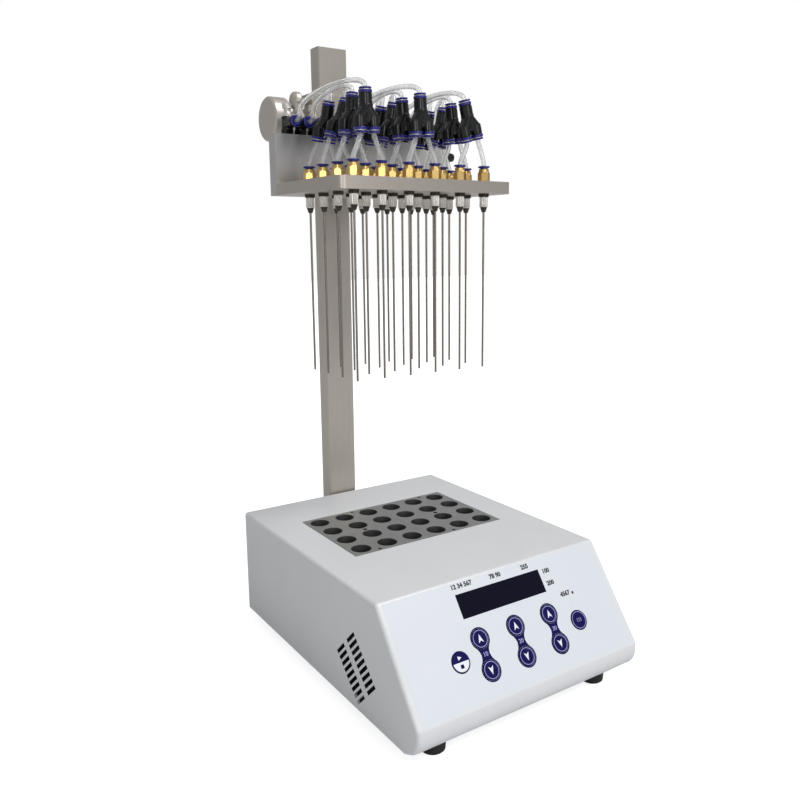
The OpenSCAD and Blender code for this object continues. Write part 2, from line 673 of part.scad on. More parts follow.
// Low-friction pads between the carriage and the column, at its top and bottom
pad_h = 16;
module glide_pads() color("#efece2") for (z = [carriage_z + 4, carriage_z + carriage_h - pad_h - 14]) {
    for (sx = [-1, 1]) {
        translate([sx * (column_w / 2 + run_fit + pad_t / 2), column_mid, z + pad_h / 2])
            cube([pad_t, column_d - 2 * column_chamfer - 3, pad_h], center = true);
        translate([sx * column_w / 4 + sx * 2, column_back + run_fit + pad_t / 2, z + pad_h / 2])
            cube([pad_t + 5, pad_t, pad_h], center = true);
    }
    translate([0, column_y - run_fit - pad_t / 2, z + pad_h / 2])
        cube([column_w - 2 * column_chamfer - 4, pad_t, pad_h], center = true);
}

// ---- gas head ----

shelf_top = shelf_z + shelf_t;
shelf_y = well_y(0) - shelf_margin;
shelf_r = 7;
shank_d = 6;
module needle_shelf() color("#948f88") difference() {
    translate([0, 0, shelf_z]) linear_extrude(shelf_t) {
        translate([-shelf_left, shelf_y + shelf_r]) square([shelf_w, manifold_y - shelf_y - shelf_r]);
        translate([-shelf_left + shelf_r, shelf_y]) square([shelf_w - 2 * shelf_r, shelf_r + 1]);
        for (x = [shelf_r, shelf_w - shelf_r]) translate([x - shelf_left, shelf_y + shelf_r]) circle(shelf_r);
    }
    for (i = [0:cols - 1], j = [0:rows - 1]) translate([well_x(i), well_y(j), shelf_z - 1])
        cylinder(d = shank_d + 2 * seat_fit, h = shelf_t + 2);
    each_shelf_screw(manifold_y + 1) cylinder(d = screw_m4 + 2 * seat_fit, h = head_screw_l - manifold_t + 4);
}

// Manifold: a drilled bar with a gas gallery and twelve valve ports on its top edge
valves = 12;
valve_axis_y = manifold_y + manifold_t / 2;
manifold_top = shelf_z + manifold_h;
gallery_z = manifold_top - 10.4;
gallery_d = 8;
valve_shank = 5.8;
function valve_x(i) = (i - (valves - 1) / 2) * valve_pitch;
module manifold() color("#948f88") difference() {
    translate([0.5 - shelf_left, manifold_y, shelf_z])
        cube([manifold_right + shelf_left - 0.5, manifold_t, manifold_h]);
    translate([8 - shelf_left, valve_axis_y, gallery_z]) to_x()
        cylinder(d = gallery_d, h = manifold_right + shelf_left);
    for (i = [0:valves - 1]) translate([valve_x(i), valve_axis_y, gallery_z])
        cylinder(d = valve_shank + 2 * seat_fit, h = manifold_top - gallery_z + 1);
    each_shelf_screw(manifold_back + 1) cylinder(d = screw_m4 + 2 * seat_fit, h = manifold_t + 2);
    each_neck_screw(manifold_y - 1) cylinder(d = screw_m4 + 2 * seat_fit, h = manifold_t + 2);
}

// Screws from behind into the shelf, and from the front into the carriage's neck
head_screw_l = 22;
module each_shelf_screw(y) for (sx = [-1, 1], k = [0.3, 0.9])
    translate([sx * k * shelf_left, y, shelf_z + shelf_t / 2]) to_front() children();
module each_neck_screw(y) for (sx = [-1, 1])
    translate([sx * (neck_w / 2 - 3), y, carriage_z + 12]) to_back() children();
module head_screws() color("silver") {
    each_shelf_screw(manifold_back) screw(screw_m4, head_screw_l);
    each_neck_screw(manifold_y) screw(screw_m4, head_screw_l);
}

// Push-in gas inlet on the manifold's right end, for a 6 mm tube
supply_tube_d = 6;
inlet_fit_d = 8.4;
inlet_fit_x = 107.5;
inlet_bore_l = 9;
module gas_inlet() color("#28302a") translate([manifold_right, valve_axis_y, gallery_z]) to_x() difference() {
    union() {
        translate([0, 0, -7]) cylinder(d = gallery_d - 2 * seat_fit, h = 8);
        cylinder(d = 11, h = 3, $fn = 6);
        cylinder(d = inlet_fit_d, h = inlet_fit_x - manifold_right - 1.8);
        cylinder(d = inlet_fit_d - 0.8, h = inlet_fit_x - manifold_right);
    }
    translate([0, 0, -8]) cylinder(d = 3, h = 30);
    translate([0, 0, inlet_fit_x - manifold_right - inlet_bore_l])
        cylinder(d = supply_tube_d + 2 * seat_fit, h = inlet_bore_l + 1);
}

// Needle line: fitting on the shelf, nut and hub below it, and the needle
brass_h = 8;
neck_d = 8.4;
neck_l = 2.6;
ring_d = 9.8;
ring_h = 2.4;
ring_z = shelf_top + brass_h + neck_l; // where the fitting ends and its ring begins
socket_l = 7;
nut_t = 2.5;
hub_d = 7;
hub_l = 8.5;
hub_taper = 4.2;
hub_top = shelf_z - nut_t;
needle_tip = shelf_z + 1.4 - needle_l;
tube_fit = 0.2;
module each_needle() for (i = [0:cols - 1], j = [0:rows - 1]) translate([well_x(i), well_y(j), 0]) children();

module brass_fitting() difference() {
    union() {
        translate([0, 0, hub_top]) cylinder(d = shank_d, h = shelf_top - hub_top + 1);
        translate([0, 0, shelf_top]) rotate(30) cylinder(d = brass_af / cos(30), h = brass_h, $fn = 6);
        translate([0, 0, shelf_top]) cylinder(d = neck_d, h = brass_h + neck_l);
    }
    translate([0, 0, hub_top - 1]) cylinder(d = needle_d + 4 * seat_fit, h = 40, $fn = 24);
    translate([0, 0, ring_z - socket_l]) cylinder(d = tube_d + 2 * tube_fit, h = socket_l + 1);
}
module brass_fittings() color("#c8a050") each_needle() brass_fitting();

module hub_nuts() color("#3a3632") each_needle() translate([0, 0, hub_top]) difference() {
    cylinder(d = 9.6, h = nut_t, $fn = 6);
    translate([0, 0, -1]) cylinder(d = shank_d + 2 * seat_fit, h = nut_t + 2);
}

module needle_hubs() color("#c9c6c0") each_needle() difference() {
    union() {
        translate([0, 0, hub_top - hub_l]) cylinder(d = hub_d, h = hub_l, $fn = 12);
        translate([0, 0, hub_top - hub_l]) rotate_extrude() polygon([[0, 1], [hub_d / 2 - 0.6, 1],
            [hub_d / 2 - 0.6, -0.8], [hub_d / 2 - 1.9, -hub_taper], [0, -hub_taper]]);
    }
    translate([0, 0, hub_top - 20]) cylinder(d = needle_d + 2 * seat_fit, h = 21);
}

module needles() color("#8c8a86") each_needle() translate([0, 0, needle_tip]) difference() {
    cylinder(d = needle_d, h = needle_l, $fn = 24);
    translate([0, 0, -1]) cylinder(d = needle_d - 0.6, h = needle_l + 2, $fn = 16);
}

// Release ring of a push-in port, its lower face at z = 0 and the tube along z
module release_ring() rotate_extrude() polygon([[tube_d / 2 + tube_fit, 0], [3.2, 0], [3.2, 0.9],
    [ring_d / 2 - 0.3, 0.9], [ring_d / 2, 1.3], [ring_d / 2, ring_h - 0.4], [ring_d / 2 - 0.4, ring_h],
    [tube_d / 2 + tube_fit, ring_h]]);

// ---- Y unions ----

union_cols = 3;
union_l = 33.5; // overall, ring to ring
union_r = 5.2;
leg_top = 12.5; // where the legs start to close up, and where they have met
crotch_top = 19.5;
// How far each union leans sideways, in degrees, from the front row to the back
union_tilt = [[-2, -3, -15], [3, -5, -7], [15, 6, 8], [4, 4, 3]];
// How far each row leans to the front, and stands in front of its needles
row_lean = [0, 0, 4, 12];
row_shift = [0, 0, 0, 3];
function turn_x(v, a) = [v[0], v[1] * cos(a) - v[2] * sin(a), v[1] * sin(a) + v[2] * cos(a)];
function turn_y(v, a) = [v[0] * cos(a) + v[2] * sin(a), v[1], -v[0] * sin(a) + v[2] * cos(a)];
function union_x(c) = (c - 1) * 2 * pitch_x;
function union_at(c, j) = [union_x(c), well_y(j) - row_shift[j], union_z];
function union_turn(v, c, j) = turn_y(turn_x(v, row_lean[j]), union_tilt[j][c]);
function union_point(v, c, j) = union_at(c, j) + union_turn(v, c, j);
module each_union() for (c = [0:union_cols - 1], j = [0:rows - 1])
    translate(union_at(c, j)) rotate([row_lean[j], union_tilt[j][c], 0]) children();

module y_union() difference() {
    union() {
        for (sx = [-1, 1]) translate([sx * outlet_gap / 2, 0, ring_h])
            cylinder(r = union_r - 0.3, h = leg_top - ring_h);
        translate([0, 0, leg_top]) cylinder(r = union_r, h = union_l - leg_top - ring_h);
        translate([0, 0, crotch_top]) cylinder(r = union_r + 0.3, h = 1.2);
        translate([0, 3.9, 0]) to_front() linear_extrude(7.8) polygon([[-outlet_gap / 2 - 4.4, leg_top - 3],
            [-outlet_gap / 2 - 4.4, leg_top], [-union_r + 0.6, crotch_top], [union_r - 0.6, crotch_top],
            [outlet_gap / 2 + 4.4, leg_top], [outlet_gap / 2 + 4.4, leg_top - 3]]);
    }
    for (sx = [-1, 1]) translate([sx * outlet_gap / 2, 0, ring_h - 1])
        cylinder(d = tube_d + 2 * tube_fit, h = socket_l + 1);
    translate([0, 0, union_l - ring_h - socket_l]) cylinder(d = tube_d + 2 * tube_fit, h = socket_l + 1);
}
module y_unions() color("#1c2024") each_union() y_union();

// Short tubes from each outlet to its needle
tube_in = 5.5; // length of tube inside a port
branch_steps = 5;
function branch_path(c, j, s) = let (
        a = union_point([s * outlet_gap / 2, 0, 0], c, j),
        down = union_turn([0, 0, -1], c, j),
        b = [union_x(c) + s * pitch_x / 2, well_y(j), ring_z + ring_h],
        k = 0.22 * norm(b - a))
    concat([a - down * (ring_h + tube_in)],
        [for (t = [0:branch_steps]) bezier(a, a + k * down, b + [0, 0, k], b, t / branch_steps)],
        [b - [0, 0, ring_h + tube_in]]);
module branch_tubes() color("#d8dad6") for (c = [0:union_cols - 1], j = [0:rows - 1], s = [-1, 1])
    sweep(branch_path(c, j, s), [0, 1, 0], tube_d / 2);

// ---- valves ----

port_z = manifold_top + port_rise;
port_l = 15;
port_r = 4.9;
port_face = valve_axis_y - port_l - ring_h;
valve_h = 14.6;
module valve_bodies() color("#1c2024") for (i = [0:valves - 1])
    translate([valve_x(i), valve_axis_y, manifold_top]) difference() {
        union() {
            translate([0, 0, -8]) cylinder(d = valve_shank, h = 9);
            cylinder(d = 11.6, h = 4, $fn = 6);
            cylinder(d = 9.8, h = valve_h);
            translate([0, 0, port_rise]) to_front() cylinder(r = port_r, h = port_l);
        }
        translate([0, 0, -9]) cylinder(d = 2.5, h = 12);
        translate([0, -port_l + socket_l, port_rise]) to_front()
            cylinder(d = tube_d + 2 * tube_fit, h = socket_l + 1);
        translate([0, 0, valve_h - 6]) cylinder(d = 3 + 2 * run_fit, h = 7);
    }

// A knurled valve knob on a collar, with its spindle
knob_gap = 0.15;
module valve_knob(i) color("#cfcdc8") translate([valve_x(i), valve_axis_y, manifold_top + valve_h]) {
    translate([0, 0, -5.5]) cylinder(d = 3, h = 8);
    translate([0, 0, knob_gap]) rotate_extrude()
        polygon([[0, 0], [3.9, 0], [3.9, 3.2], [2.6, 4.2], [2.6, 7], [0, 7]]);
    translate([0, 0, 6.6]) linear_extrude(4.6)
        polygon([for (k = [0:47]) (k % 2 == 0 ? 4 : 3.75) * [cos(k * 7.5), sin(k * 7.5)]]);
    translate([0, 0, 11.1]) cylinder(d = 6.6, h = 0.5);
}

// Tubes from the valves: out of the port, up and over, down into a union.
// Within a group the four valves feed the front, second, back and third rows.
row_valve = [0, 1, 3, 2];
bend_r = 7;
rise_front = [14, 13, 14, 20];
feed_steps = 12;
function feed_path(c, j) = let (
        x = valve_x(4 * c + row_valve[j]),
        face = [x, port_face, port_z],
        top = [x, port_face - 1 - bend_r, port_z + bend_r],
        b = union_point([0, 0, union_l], c, j),
        up = union_turn([0, 0, 1], c, j),
        k = rise_front[j])
    concat([face + [0, ring_h + tube_in, 0], face],
        [for (a = [0:30:60]) [x, port_face - 1 - bend_r * sin(a), port_z + bend_r * (1 - cos(a))]],
        [for (t = [0:feed_steps]) bezier(top, top + [0, 0, k], b + k * up, b, t / feed_steps)],
        [b - up * (ring_h + tube_in)]);
module feed_tubes() color("#d8dad6") for (c = [0:union_cols - 1], j = [0:rows - 1])
    sweep(feed_path(c, j), [1, 0, 0], tube_d / 2);

module release_rings() color("#28289c") {
    each_needle() translate([0, 0, ring_z]) release_ring();
    each_union() {
        for (sx = [-1, 1]) translate([sx * outlet_gap / 2, 0, ring_h]) mirror([0, 0, 1]) release_ring();
        translate([0, 0, union_l - ring_h]) release_ring();
    }
    for (i = [0:valves - 1]) translate([valve_x(i), valve_axis_y - port_l, port_z]) to_front() release_ring();
}

housing_shell();
base_plate();
rubber_feet();
case_screws();
keypad_overlay();
display_window();
control_board();
power_supply();
heating_block_left();
heating_block_right();
heater_mat();
insulation_tray();
temperature_probes();
power_inlet();
inlet_pins();
fuse_drawer();
power_rocker();
column();
column_bracket();
bracket_screws();
column_rack();
carriage();
glide_pads();
needle_shelf();
manifold();
gas_inlet();
head_screws();
brass_fittings();
hub_nuts();
needle_hubs();
needles();
y_unions();
release_rings();
branch_tubes();
feed_tubes();
valve_bodies();
lift_knob();
pinion_shaft();
lock_knob();
for (k = KEYS) key(k[1], k[2], k[3]);
for (i = [0:valves - 1]) valve_knob(i);
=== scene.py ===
import json
import math
import bmesh
import bpy
import numpy as np
from mathutils import Matrix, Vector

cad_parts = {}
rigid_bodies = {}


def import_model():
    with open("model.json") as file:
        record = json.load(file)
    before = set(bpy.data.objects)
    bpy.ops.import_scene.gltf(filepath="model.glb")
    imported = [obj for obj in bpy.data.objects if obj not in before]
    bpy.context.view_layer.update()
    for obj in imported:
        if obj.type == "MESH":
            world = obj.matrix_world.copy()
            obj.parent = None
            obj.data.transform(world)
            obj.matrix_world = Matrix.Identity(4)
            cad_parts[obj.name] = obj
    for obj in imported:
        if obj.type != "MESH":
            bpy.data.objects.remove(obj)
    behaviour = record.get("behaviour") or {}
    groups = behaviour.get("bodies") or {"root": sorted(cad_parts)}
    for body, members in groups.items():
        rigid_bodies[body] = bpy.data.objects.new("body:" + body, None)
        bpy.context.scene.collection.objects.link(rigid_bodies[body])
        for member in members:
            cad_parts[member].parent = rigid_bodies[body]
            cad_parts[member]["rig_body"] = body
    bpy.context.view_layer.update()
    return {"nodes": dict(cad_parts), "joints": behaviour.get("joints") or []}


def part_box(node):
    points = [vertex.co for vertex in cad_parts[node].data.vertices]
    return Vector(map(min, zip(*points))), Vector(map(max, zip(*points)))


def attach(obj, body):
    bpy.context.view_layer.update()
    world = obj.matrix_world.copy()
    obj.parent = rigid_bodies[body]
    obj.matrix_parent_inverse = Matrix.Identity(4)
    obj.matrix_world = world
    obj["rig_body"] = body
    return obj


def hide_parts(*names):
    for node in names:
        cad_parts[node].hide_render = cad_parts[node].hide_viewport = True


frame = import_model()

nodes = frame["nodes"]
jointNamed = {joint["name"]: joint for joint in frame["joints"]}
mm = 0.001
print("frame loaded:", len(nodes), "nodes")


def linearColour(hexText):
    # sRGB c to linear: c / 12.92 below 0.04045, else ((c + 0.055) / 1.055) ** 2.4
    values = np.array([int(hexText[k:k + 2], 16) for k in (1, 3, 5)]) / 255
    linear = np.where(values <= 0.04045, values / 12.92, ((values + 0.055) / 1.055) ** 2.4)
    return (*linear, 1.0)


def addNode(tree, kind, settings=None, inputs=None, links=None):
    # one shader node with its own settings, its sockets' values and what feeds them
    node = tree.nodes.new(kind)
    for name, value in (settings or {}).items():
        setattr(node, name, value)
    for name, value in (inputs or {}).items():
        node.inputs[name].default_value = value
    for name, source in (links or {}).items():
        tree.links.new(source, node.inputs[name])
    return node


def makeFinish(name, look):
    # colour = mix(look colour, shade, noise); roughness = base + spread * noise; bump from the same grain
    material = bpy.data.materials.new(name)
    material.use_nodes = True
    tree = material.node_tree
    shader = tree.nodes["Principled BSDF"]
    shader.inputs["Metallic"].default_value = look.get("metallic", 0.0)
    shader.inputs["IOR"].default_value = look.get("ior", 1.5)
    shader.inputs["Specular IOR Level"].default_value = look.get("level", 0.5)
    shader.inputs["Coat Weight"].default_value = look.get("coat", 0.0)
    shader.inputs["Coat Roughness"].default_value = look.get("coatRoughness", 0.1)
    shader.inputs["Transmission Weight"].default_value = look.get("clear", 0.0)
    place = addNode(tree, "ShaderNodeTexCoord")
    stretch = addNode(tree, "ShaderNodeMapping", {"vector_type": "POINT"},
                      {"Scale": look.get("stretch", (1, 1, 1))}, {"Vector": place.outputs["Object"]})
    grain = addNode(tree, "ShaderNodeTexNoise", {},
                    {"Scale": 1 / (look["grainMm"] * mm), "Detail": 3.0, "Roughness": 0.6},
                    {"Vector": stretch.outputs["Vector"]})
    cloud = addNode(tree, "ShaderNodeTexNoise", {},
                    {"Scale": 1 / (look.get("cloudMm", 40) * mm), "Detail": 2.0},
                    {"Vector": place.outputs["Object"]})
    both = addNode(tree, "ShaderNodeMath", {"operation": "MULTIPLY_ADD"}, {1: look.get("cloudShare", 0.5)},
                   {0: cloud.outputs["Fac"], 2: grain.outputs["Fac"]})
    share = addNode(tree, "ShaderNodeMapRange", {}, {"From Min": 0.45, "From Max": 1.1},
                    {"Value": both.outputs[0]})
    colour = addNode(tree, "ShaderNodeMix", {"data_type": "RGBA"},
                     {6: linearColour(look["colour"]), 7: linearColour(look["shade"])}, {0: share.outputs[0]})
    tree.links.new(colour.outputs[2], shader.inputs["Base Color"])
    low = look["roughness"] - look.get("spread", 0.05)
    high = look["roughness"] + look.get("spread", 0.05)
    rough = addNode(tree, "ShaderNodeMapRange", {},
                    {"From Min": 0.3, "From Max": 0.7, "To Min": low, "To Max": high},
                    {"Value": grain.outputs["Fac"]})
    tree.links.new(rough.outputs[0], shader.inputs["Roughness"])
    bump = addNode(tree, "ShaderNodeBump", {},
                   {"Strength": look.get("bump", 0.2), "Distance": look.get("bumpMm", 0.05) * mm},
                   {"Height": grain.outputs["Fac"]})
    tree.links.new(bump.outputs["Normal"], shader.inputs["Normal"])
    return material


def gridFaces(rows, columns, closeRows=False, closeColumns=True):
    # quads between neighbouring points of a rows x columns grid, as indices
    r = np.arange(rows if closeRows else rows - 1)
    c = np.arange(columns if closeColumns else columns - 1)
    r, c = [a.ravel() for a in np.meshgrid(r, c, indexing="ij")]
    r2, c2 = (r + 1) % rows, (c + 1) % columns
    return np.stack([r * columns + c, r * columns + c2, r2 * columns + c2, r2 * columns + c], axis=1)


def surfaceMesh(name, points, faces, smoothAngle=35):
    # a mesh from whole arrays; doubles at seams and poles are merged and the faces turned outwards
    mesh = bpy.data.meshes.new(name)
    mesh.vertices.add(len(points))
    mesh.vertices.foreach_set("co", np.asarray(points, np.float32).ravel())
    mesh.loops.add(faces.size)
    mesh.loops.foreach_set("vertex_index", faces.ravel().astype(np.int32))
    mesh.polygons.add(len(faces))
    mesh.polygons.foreach_set("loop_start", np.arange(0, faces.size, faces.shape[1], dtype=np.int32))
    mesh.update(calc_edges=True)
    tidyMesh(mesh, 1e-7)
    mesh.polygons.foreach_set("use_smooth", np.ones(len(mesh.polygons), bool))
    mesh.set_sharp_from_angle(angle=math.radians(smoothAngle))
    return mesh


def tidyMesh(mesh, gap):
    # points closer than gap become one, flat faces go, and all normals turn outwards
    work = bmesh.new()
    work.from_mesh(mesh)
    bmesh.ops.remove_doubles(work, verts=work.verts, dist=gap)
    bmesh.ops.dissolve_degenerate(work, edges=work.edges, dist=gap)
    bmesh.ops.recalc_face_normals(work, faces=work.faces)
    work.to_mesh(mesh)
    work.free()


def revolve(profile, turns=48, waves=None):
    # (radius, height) pairs turned about Z: x = r cos a, y = r sin a; waves(a, r, z) may change r
    profile = np.asarray(profile, float)
    angle = np.linspace(0, 2 * np.pi, turns, endpoint=False)
    radius = np.repeat(profile[:, :1], turns, axis=1)
    height = np.repeat(profile[:, 1:], turns, axis=1)
    if waves is not None:
        radius = waves(angle[None, :], radius, height)
    points = np.stack([radius * np.cos(angle), radius * np.sin(angle), height], axis=2)
    return points.reshape(-1, 3), gridFaces(len(profile), turns)


def axisFrame(origin, direction, side=(1, 0, 0)):
    # 3 x 4 frame whose third column is the direction and whose first lies near side
    w = np.asarray(direction, float) / np.linalg.norm(direction)
    v = np.cross(w, side)
    v /= np.linalg.norm(v)
    return np.column_stack([np.cross(v, w), v, w, np.asarray(origin, float)])


def copies(shape, frames):
    # the shape's points through every frame: p -> R p + t, with the faces' indices moved along
    points, faces = shape
    frames = np.asarray(frames)
    moved = np.einsum("mij,nj->mni", frames[:, :, :3], points) + frames[:, None, :, 3]
    shifts = np.arange(len(frames))[:, None, None] * len(points)
    return moved.reshape(-1, 3), (faces[None] + shifts).reshape(-1, faces.shape[1])


def together(*shapes):
    # several shapes as one pair of arrays
    counts = np.cumsum([0] + [len(points) for points, faces in shapes])
    return (np.concatenate([points for points, faces in shapes]),
            np.concatenate([faces + counts[k] for k, (points, faces) in enumerate(shapes)]))


def addPiece(name, shape, body, material, replaced=(), smoothAngle=35):
    # shape is (points, faces) in metres in the row frame
    mesh = surfaceMesh(name, *shape, smoothAngle)
    return dressPiece(bpy.data.objects.new(name, mesh), body, material, replaced)


def dressPiece(piece, body, material, replaced=()):
    # the piece in the scene with its material, its body, its slot and the nodes that it stands for
    if piece.name not in bpy.context.scene.collection.objects:
        bpy.context.scene.collection.objects.link(piece)
    piece.data.materials.clear()
    piece.data.materials.append(material)
    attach(piece, body)
    if replaced:
        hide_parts(*replaced)
    return piece


def nodePoints(name):
    # all points of a node in metres, one row each
    mesh = nodes[name].data
    points = np.zeros(len(mesh.vertices) * 3, np.float32)
    mesh.vertices.foreach_get("co", points)
    return points.reshape(-1, 3).astype(float)


def middle(name):
    # (lowest corner + highest corner) / 2 of a node's box
    low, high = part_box(name)
    return np.array((low + high) / 2)


# a pinhole camera, fitted to the photo
cameraView = {
    "at": (-0.3747, -0.56405, 0.3554),
    "turn": 34.052,  # degrees to the right of straight back
    "tilt": -10.288,  # degrees up
    "roll": -0.434,
    "focalPx": 795.05,
    "centrePx": (415.44, 385.09),
    "imagePx": 800,
    "sensorMm": 36,
    "nearM": 0.01,
}


def placeCamera(view):
    # focal length = focal pixels * sensor / image; ahead, right and up from turn and tilt, rolled about ahead
    camera = bpy.data.objects.new("camera", bpy.data.cameras.new("camera"))
    bpy.context.scene.collection.objects.link(camera)
    camera.data.sensor_width = view["sensorMm"]
    camera.data.sensor_fit = "HORIZONTAL"
    camera.data.lens = view["focalPx"] * camera.data.sensor_width / view["imagePx"]
    camera.data.shift_x = -(view["centrePx"][0] - view["imagePx"] / 2) / view["imagePx"]
    camera.data.shift_y = (view["centrePx"][1] - view["imagePx"] / 2) / view["imagePx"]
    camera.data.clip_start = view["nearM"]
    turn, tilt, roll = [math.radians(view[k]) for k in ("turn", "tilt", "roll")]
    ahead = np.array([math.sin(turn) * math.cos(tilt), math.cos(turn) * math.cos(tilt), math.sin(tilt)])
    right = np.array([math.cos(turn), -math.sin(turn), 0])
    up = np.cross(right, ahead)
    right, up = (right * math.cos(roll) + up * math.sin(roll),
                 up * math.cos(roll) - right * math.sin(roll))
    matrix = np.eye(4)
    matrix[:3, :3] = np.column_stack([right, up, -ahead])
    matrix[:3, 3] = view["at"]
    camera.matrix_world = Matrix(matrix.tolist())
    bpy.context.scene.camera = camera


placeCamera(cameraView)
print("camera placed")

# each finish: its two tones, and what sets its gloss, its grain in mm and its relief
finishLooks = {
    # injection-moulded ABS with a satin skin: soft highlights, faint unevenness
    "mouldedAbs": {"colour": "#e4e6e8", "shade": "#dcdee1", "roughness": 0.34, "spread": 0.03,
                   "grainMm": 0.9, "bump": 0.06, "bumpMm": 0.02, "coat": 0.15, "coatRoughness": 0.2},
    # the same plastic where no light reaches it
    "slotShade": {"colour": "#151618", "shade": "#1a1b1d", "roughness": 0.6, "grainMm": 0.9, "bump": 0.05},
    # polyester keypad film, printed from behind: cool white, fine tooth
    "polyesterFilm": {"colour": "#dde1e8", "shade": "#d7dbe2", "roughness": 0.4, "spread": 0.03,
                      "grainMm": 0.35, "bump": 0.08, "bumpMm": 0.02},
    # screen ink under the film: flat and even
    "navyInk": {"colour": "#0e0b52", "shade": "#0c0948", "roughness": 0.45, "level": 0.1, "grainMm": 0.4,
                "bump": 0.06, "bumpMm": 0.02},
    "paleInk": {"colour": "#eef1f8", "shade": "#e3e7f2", "roughness": 0.4, "grainMm": 0.4, "bump": 0.05},
    "ringInk": {"colour": "#a7aade", "shade": "#9b9ed4", "roughness": 0.4, "grainMm": 0.4, "bump": 0.05},
    "labelInk": {"colour": "#181922", "shade": "#20212b", "roughness": 0.45, "grainMm": 0.4, "bump": 0.05},
    # tinted acrylic over an unlit display: near black with a blue cast, its gloss kept low
    "tintedAcrylic": {"colour": "#0d0d1e", "shade": "#101023", "roughness": 0.12, "spread": 0.02, "ior": 1.49,
                      "level": 0.12, "grainMm": 3.0, "bump": 0.02},
    # bead-blasted aluminium: even grey, tiny pits that break up every highlight
    "blastedAluminium": {"colour": "#b8b9b8", "shade": "#a1a2a1", "metallic": 0.9, "roughness": 0.5,
                         "spread": 0.08, "grainMm": 0.45, "bump": 0.3, "bumpMm": 0.05, "cloudMm": 30},
    # drilled well walls, darker than the blasted top: painted shade for the dim inside of the wells
    "paintedWellShade": {"colour": "#848584", "shade": "#737473", "metallic": 0.9, "roughness": 0.45,
                       "spread": 0.06, "grainMm": 0.5, "stretch": (1, 1, 4), "bump": 0.12, "bumpMm": 0.03},
    # anodised extrusion: silky, with die lines along its length
    "anodisedExtrusion": {"colour": "#c8c2b9", "shade": "#bbb5ac", "metallic": 0.85, "roughness": 0.36,
                          "spread": 0.06, "grainMm": 0.5, "stretch": (1, 1, 0.02), "bump": 0.14,
                          "bumpMm": 0.03, "cloudMm": 90},
    # milled and anodised plate: same tone, finer and without a direction
    "anodisedPlate": {"colour": "#c6bfb6", "shade": "#b9b2aa", "metallic": 0.85, "roughness": 0.36,
                      "spread": 0.05, "grainMm": 0.4, "bump": 0.15, "bumpMm": 0.03, "cloudMm": 60},
    # the upright plate: the same anodised plate made lighter and cooler, painted light against the shade of
    # the fittings in front of it
    "paintedLightPlate": {"colour": "#cbcac9", "shade": "#bfbebd", "metallic": 0.8, "roughness": 0.42,
                  "spread": 0.05, "grainMm": 0.4, "bump": 0.15, "bumpMm": 0.03, "cloudMm": 60},
    # turned aluminium knob, blasted and anodised
    "anodisedKnob": {"colour": "#cec8c0", "shade": "#c2bcb4", "metallic": 0.7, "roughness": 0.42,
                     "spread": 0.05, "grainMm": 0.4, "bump": 0.15, "bumpMm": 0.03},
    # machined brass bar: warm, bright, with cutter marks round the hexagon
    "machinedBrass": {"colour": "#e9cb8a", "shade": "#cda862", "metallic": 1.0, "roughness": 0.27,
                      "spread": 0.05, "grainMm": 0.5, "stretch": (1, 1, 6), "bump": 0.1, "bumpMm": 0.02},
    # bright nickel plate over knurls
    "nickelPlate": {"colour": "#f3efe9", "shade": "#e2ddd6", "metallic": 0.8, "roughness": 0.3,
                    "spread": 0.05, "grainMm": 0.6, "bump": 0.08, "bumpMm": 0.03},
    # oxidised steel nuts and tapers: dark brown-grey
    "blackenedSteel": {"colour": "#4f4943", "shade": "#3e3934", "metallic": 0.85, "roughness": 0.36,
                       "spread": 0.06, "grainMm": 0.5, "bump": 0.15},
    # drawn stainless tube: fine lines along the needle
    "drawnStainless": {"colour": "#9a938b", "shade": "#7f7871", "metallic": 1.0, "roughness": 0.27,
                       "spread": 0.06, "grainMm": 0.25, "stretch": (1, 1, 0.03), "bump": 0.1},
    # glass-filled nylon mouldings: deep black with a wet-looking gloss
    "blackNylon": {"colour": "#07090b", "shade": "#0b0d11", "roughness": 0.2, "spread": 0.03,
                   "grainMm": 0.8, "bump": 0.04, "bumpMm": 0.02},
    # acetal release rings: saturated blue, waxy
    "blueAcetal": {"colour": "#1d1b86", "shade": "#171574", "roughness": 0.24, "spread": 0.04,
                   "grainMm": 0.6, "bump": 0.05, "coat": 0.3, "coatRoughness": 0.1},
    # zinc-plated steel screws and sheet
    "zincSteel": {"colour": "#b3b4b4", "shade": "#9a9c9f", "metallic": 1.0, "roughness": 0.34,
                  "spread": 0.08, "grainMm": 2.5, "bump": 0.1},
    # moulded rubber: flat black
    "footRubber": {"colour": "#1c1c1c", "shade": "#242424", "roughness": 0.75, "grainMm": 0.5, "bump": 0.3},
    # phenolic and nylon of the power socket
    "socketBlack": {"colour": "#1b1b1f", "shade": "#232328", "roughness": 0.33, "grainMm": 0.7, "bump": 0.15},
    # solder mask over copper
    "solderMask": {"colour": "#1b5a38", "shade": "#164a2e", "roughness": 0.35, "grainMm": 1.5, "bump": 0.2},
    # silicone heater mat
    "redSilicone": {"colour": "#b04530", "shade": "#9c3b29", "roughness": 0.6, "grainMm": 0.8, "bump": 0.3},
    # rigid insulation board
    "insulationBoard": {"colour": "#e2dac2", "shade": "#d2c9ae", "roughness": 0.8, "grainMm": 0.9,
                        "bump": 0.5, "bumpMm": 0.15},
    # low-friction polymer pads
    "glidePolymer": {"colour": "#ece9de", "shade": "#e1ddd0", "roughness": 0.45, "grainMm": 0.7},
    # clear polyurethane tube: see-through in the middle, with bright glassy edges
    "clearTubing": {"colour": "#fbfbfb", "shade": "#f5f6f6", "roughness": 0.14, "spread": 0.02,
                    "grainMm": 6.0, "bump": 0.0, "ior": 1.2, "clear": 0.86, "coat": 0.5,
                    "coatRoughness": 0.05},
}
finishes = {name: makeFinish(name, look) for name, look in finishLooks.items()}
print("finishes made:", len(finishes))

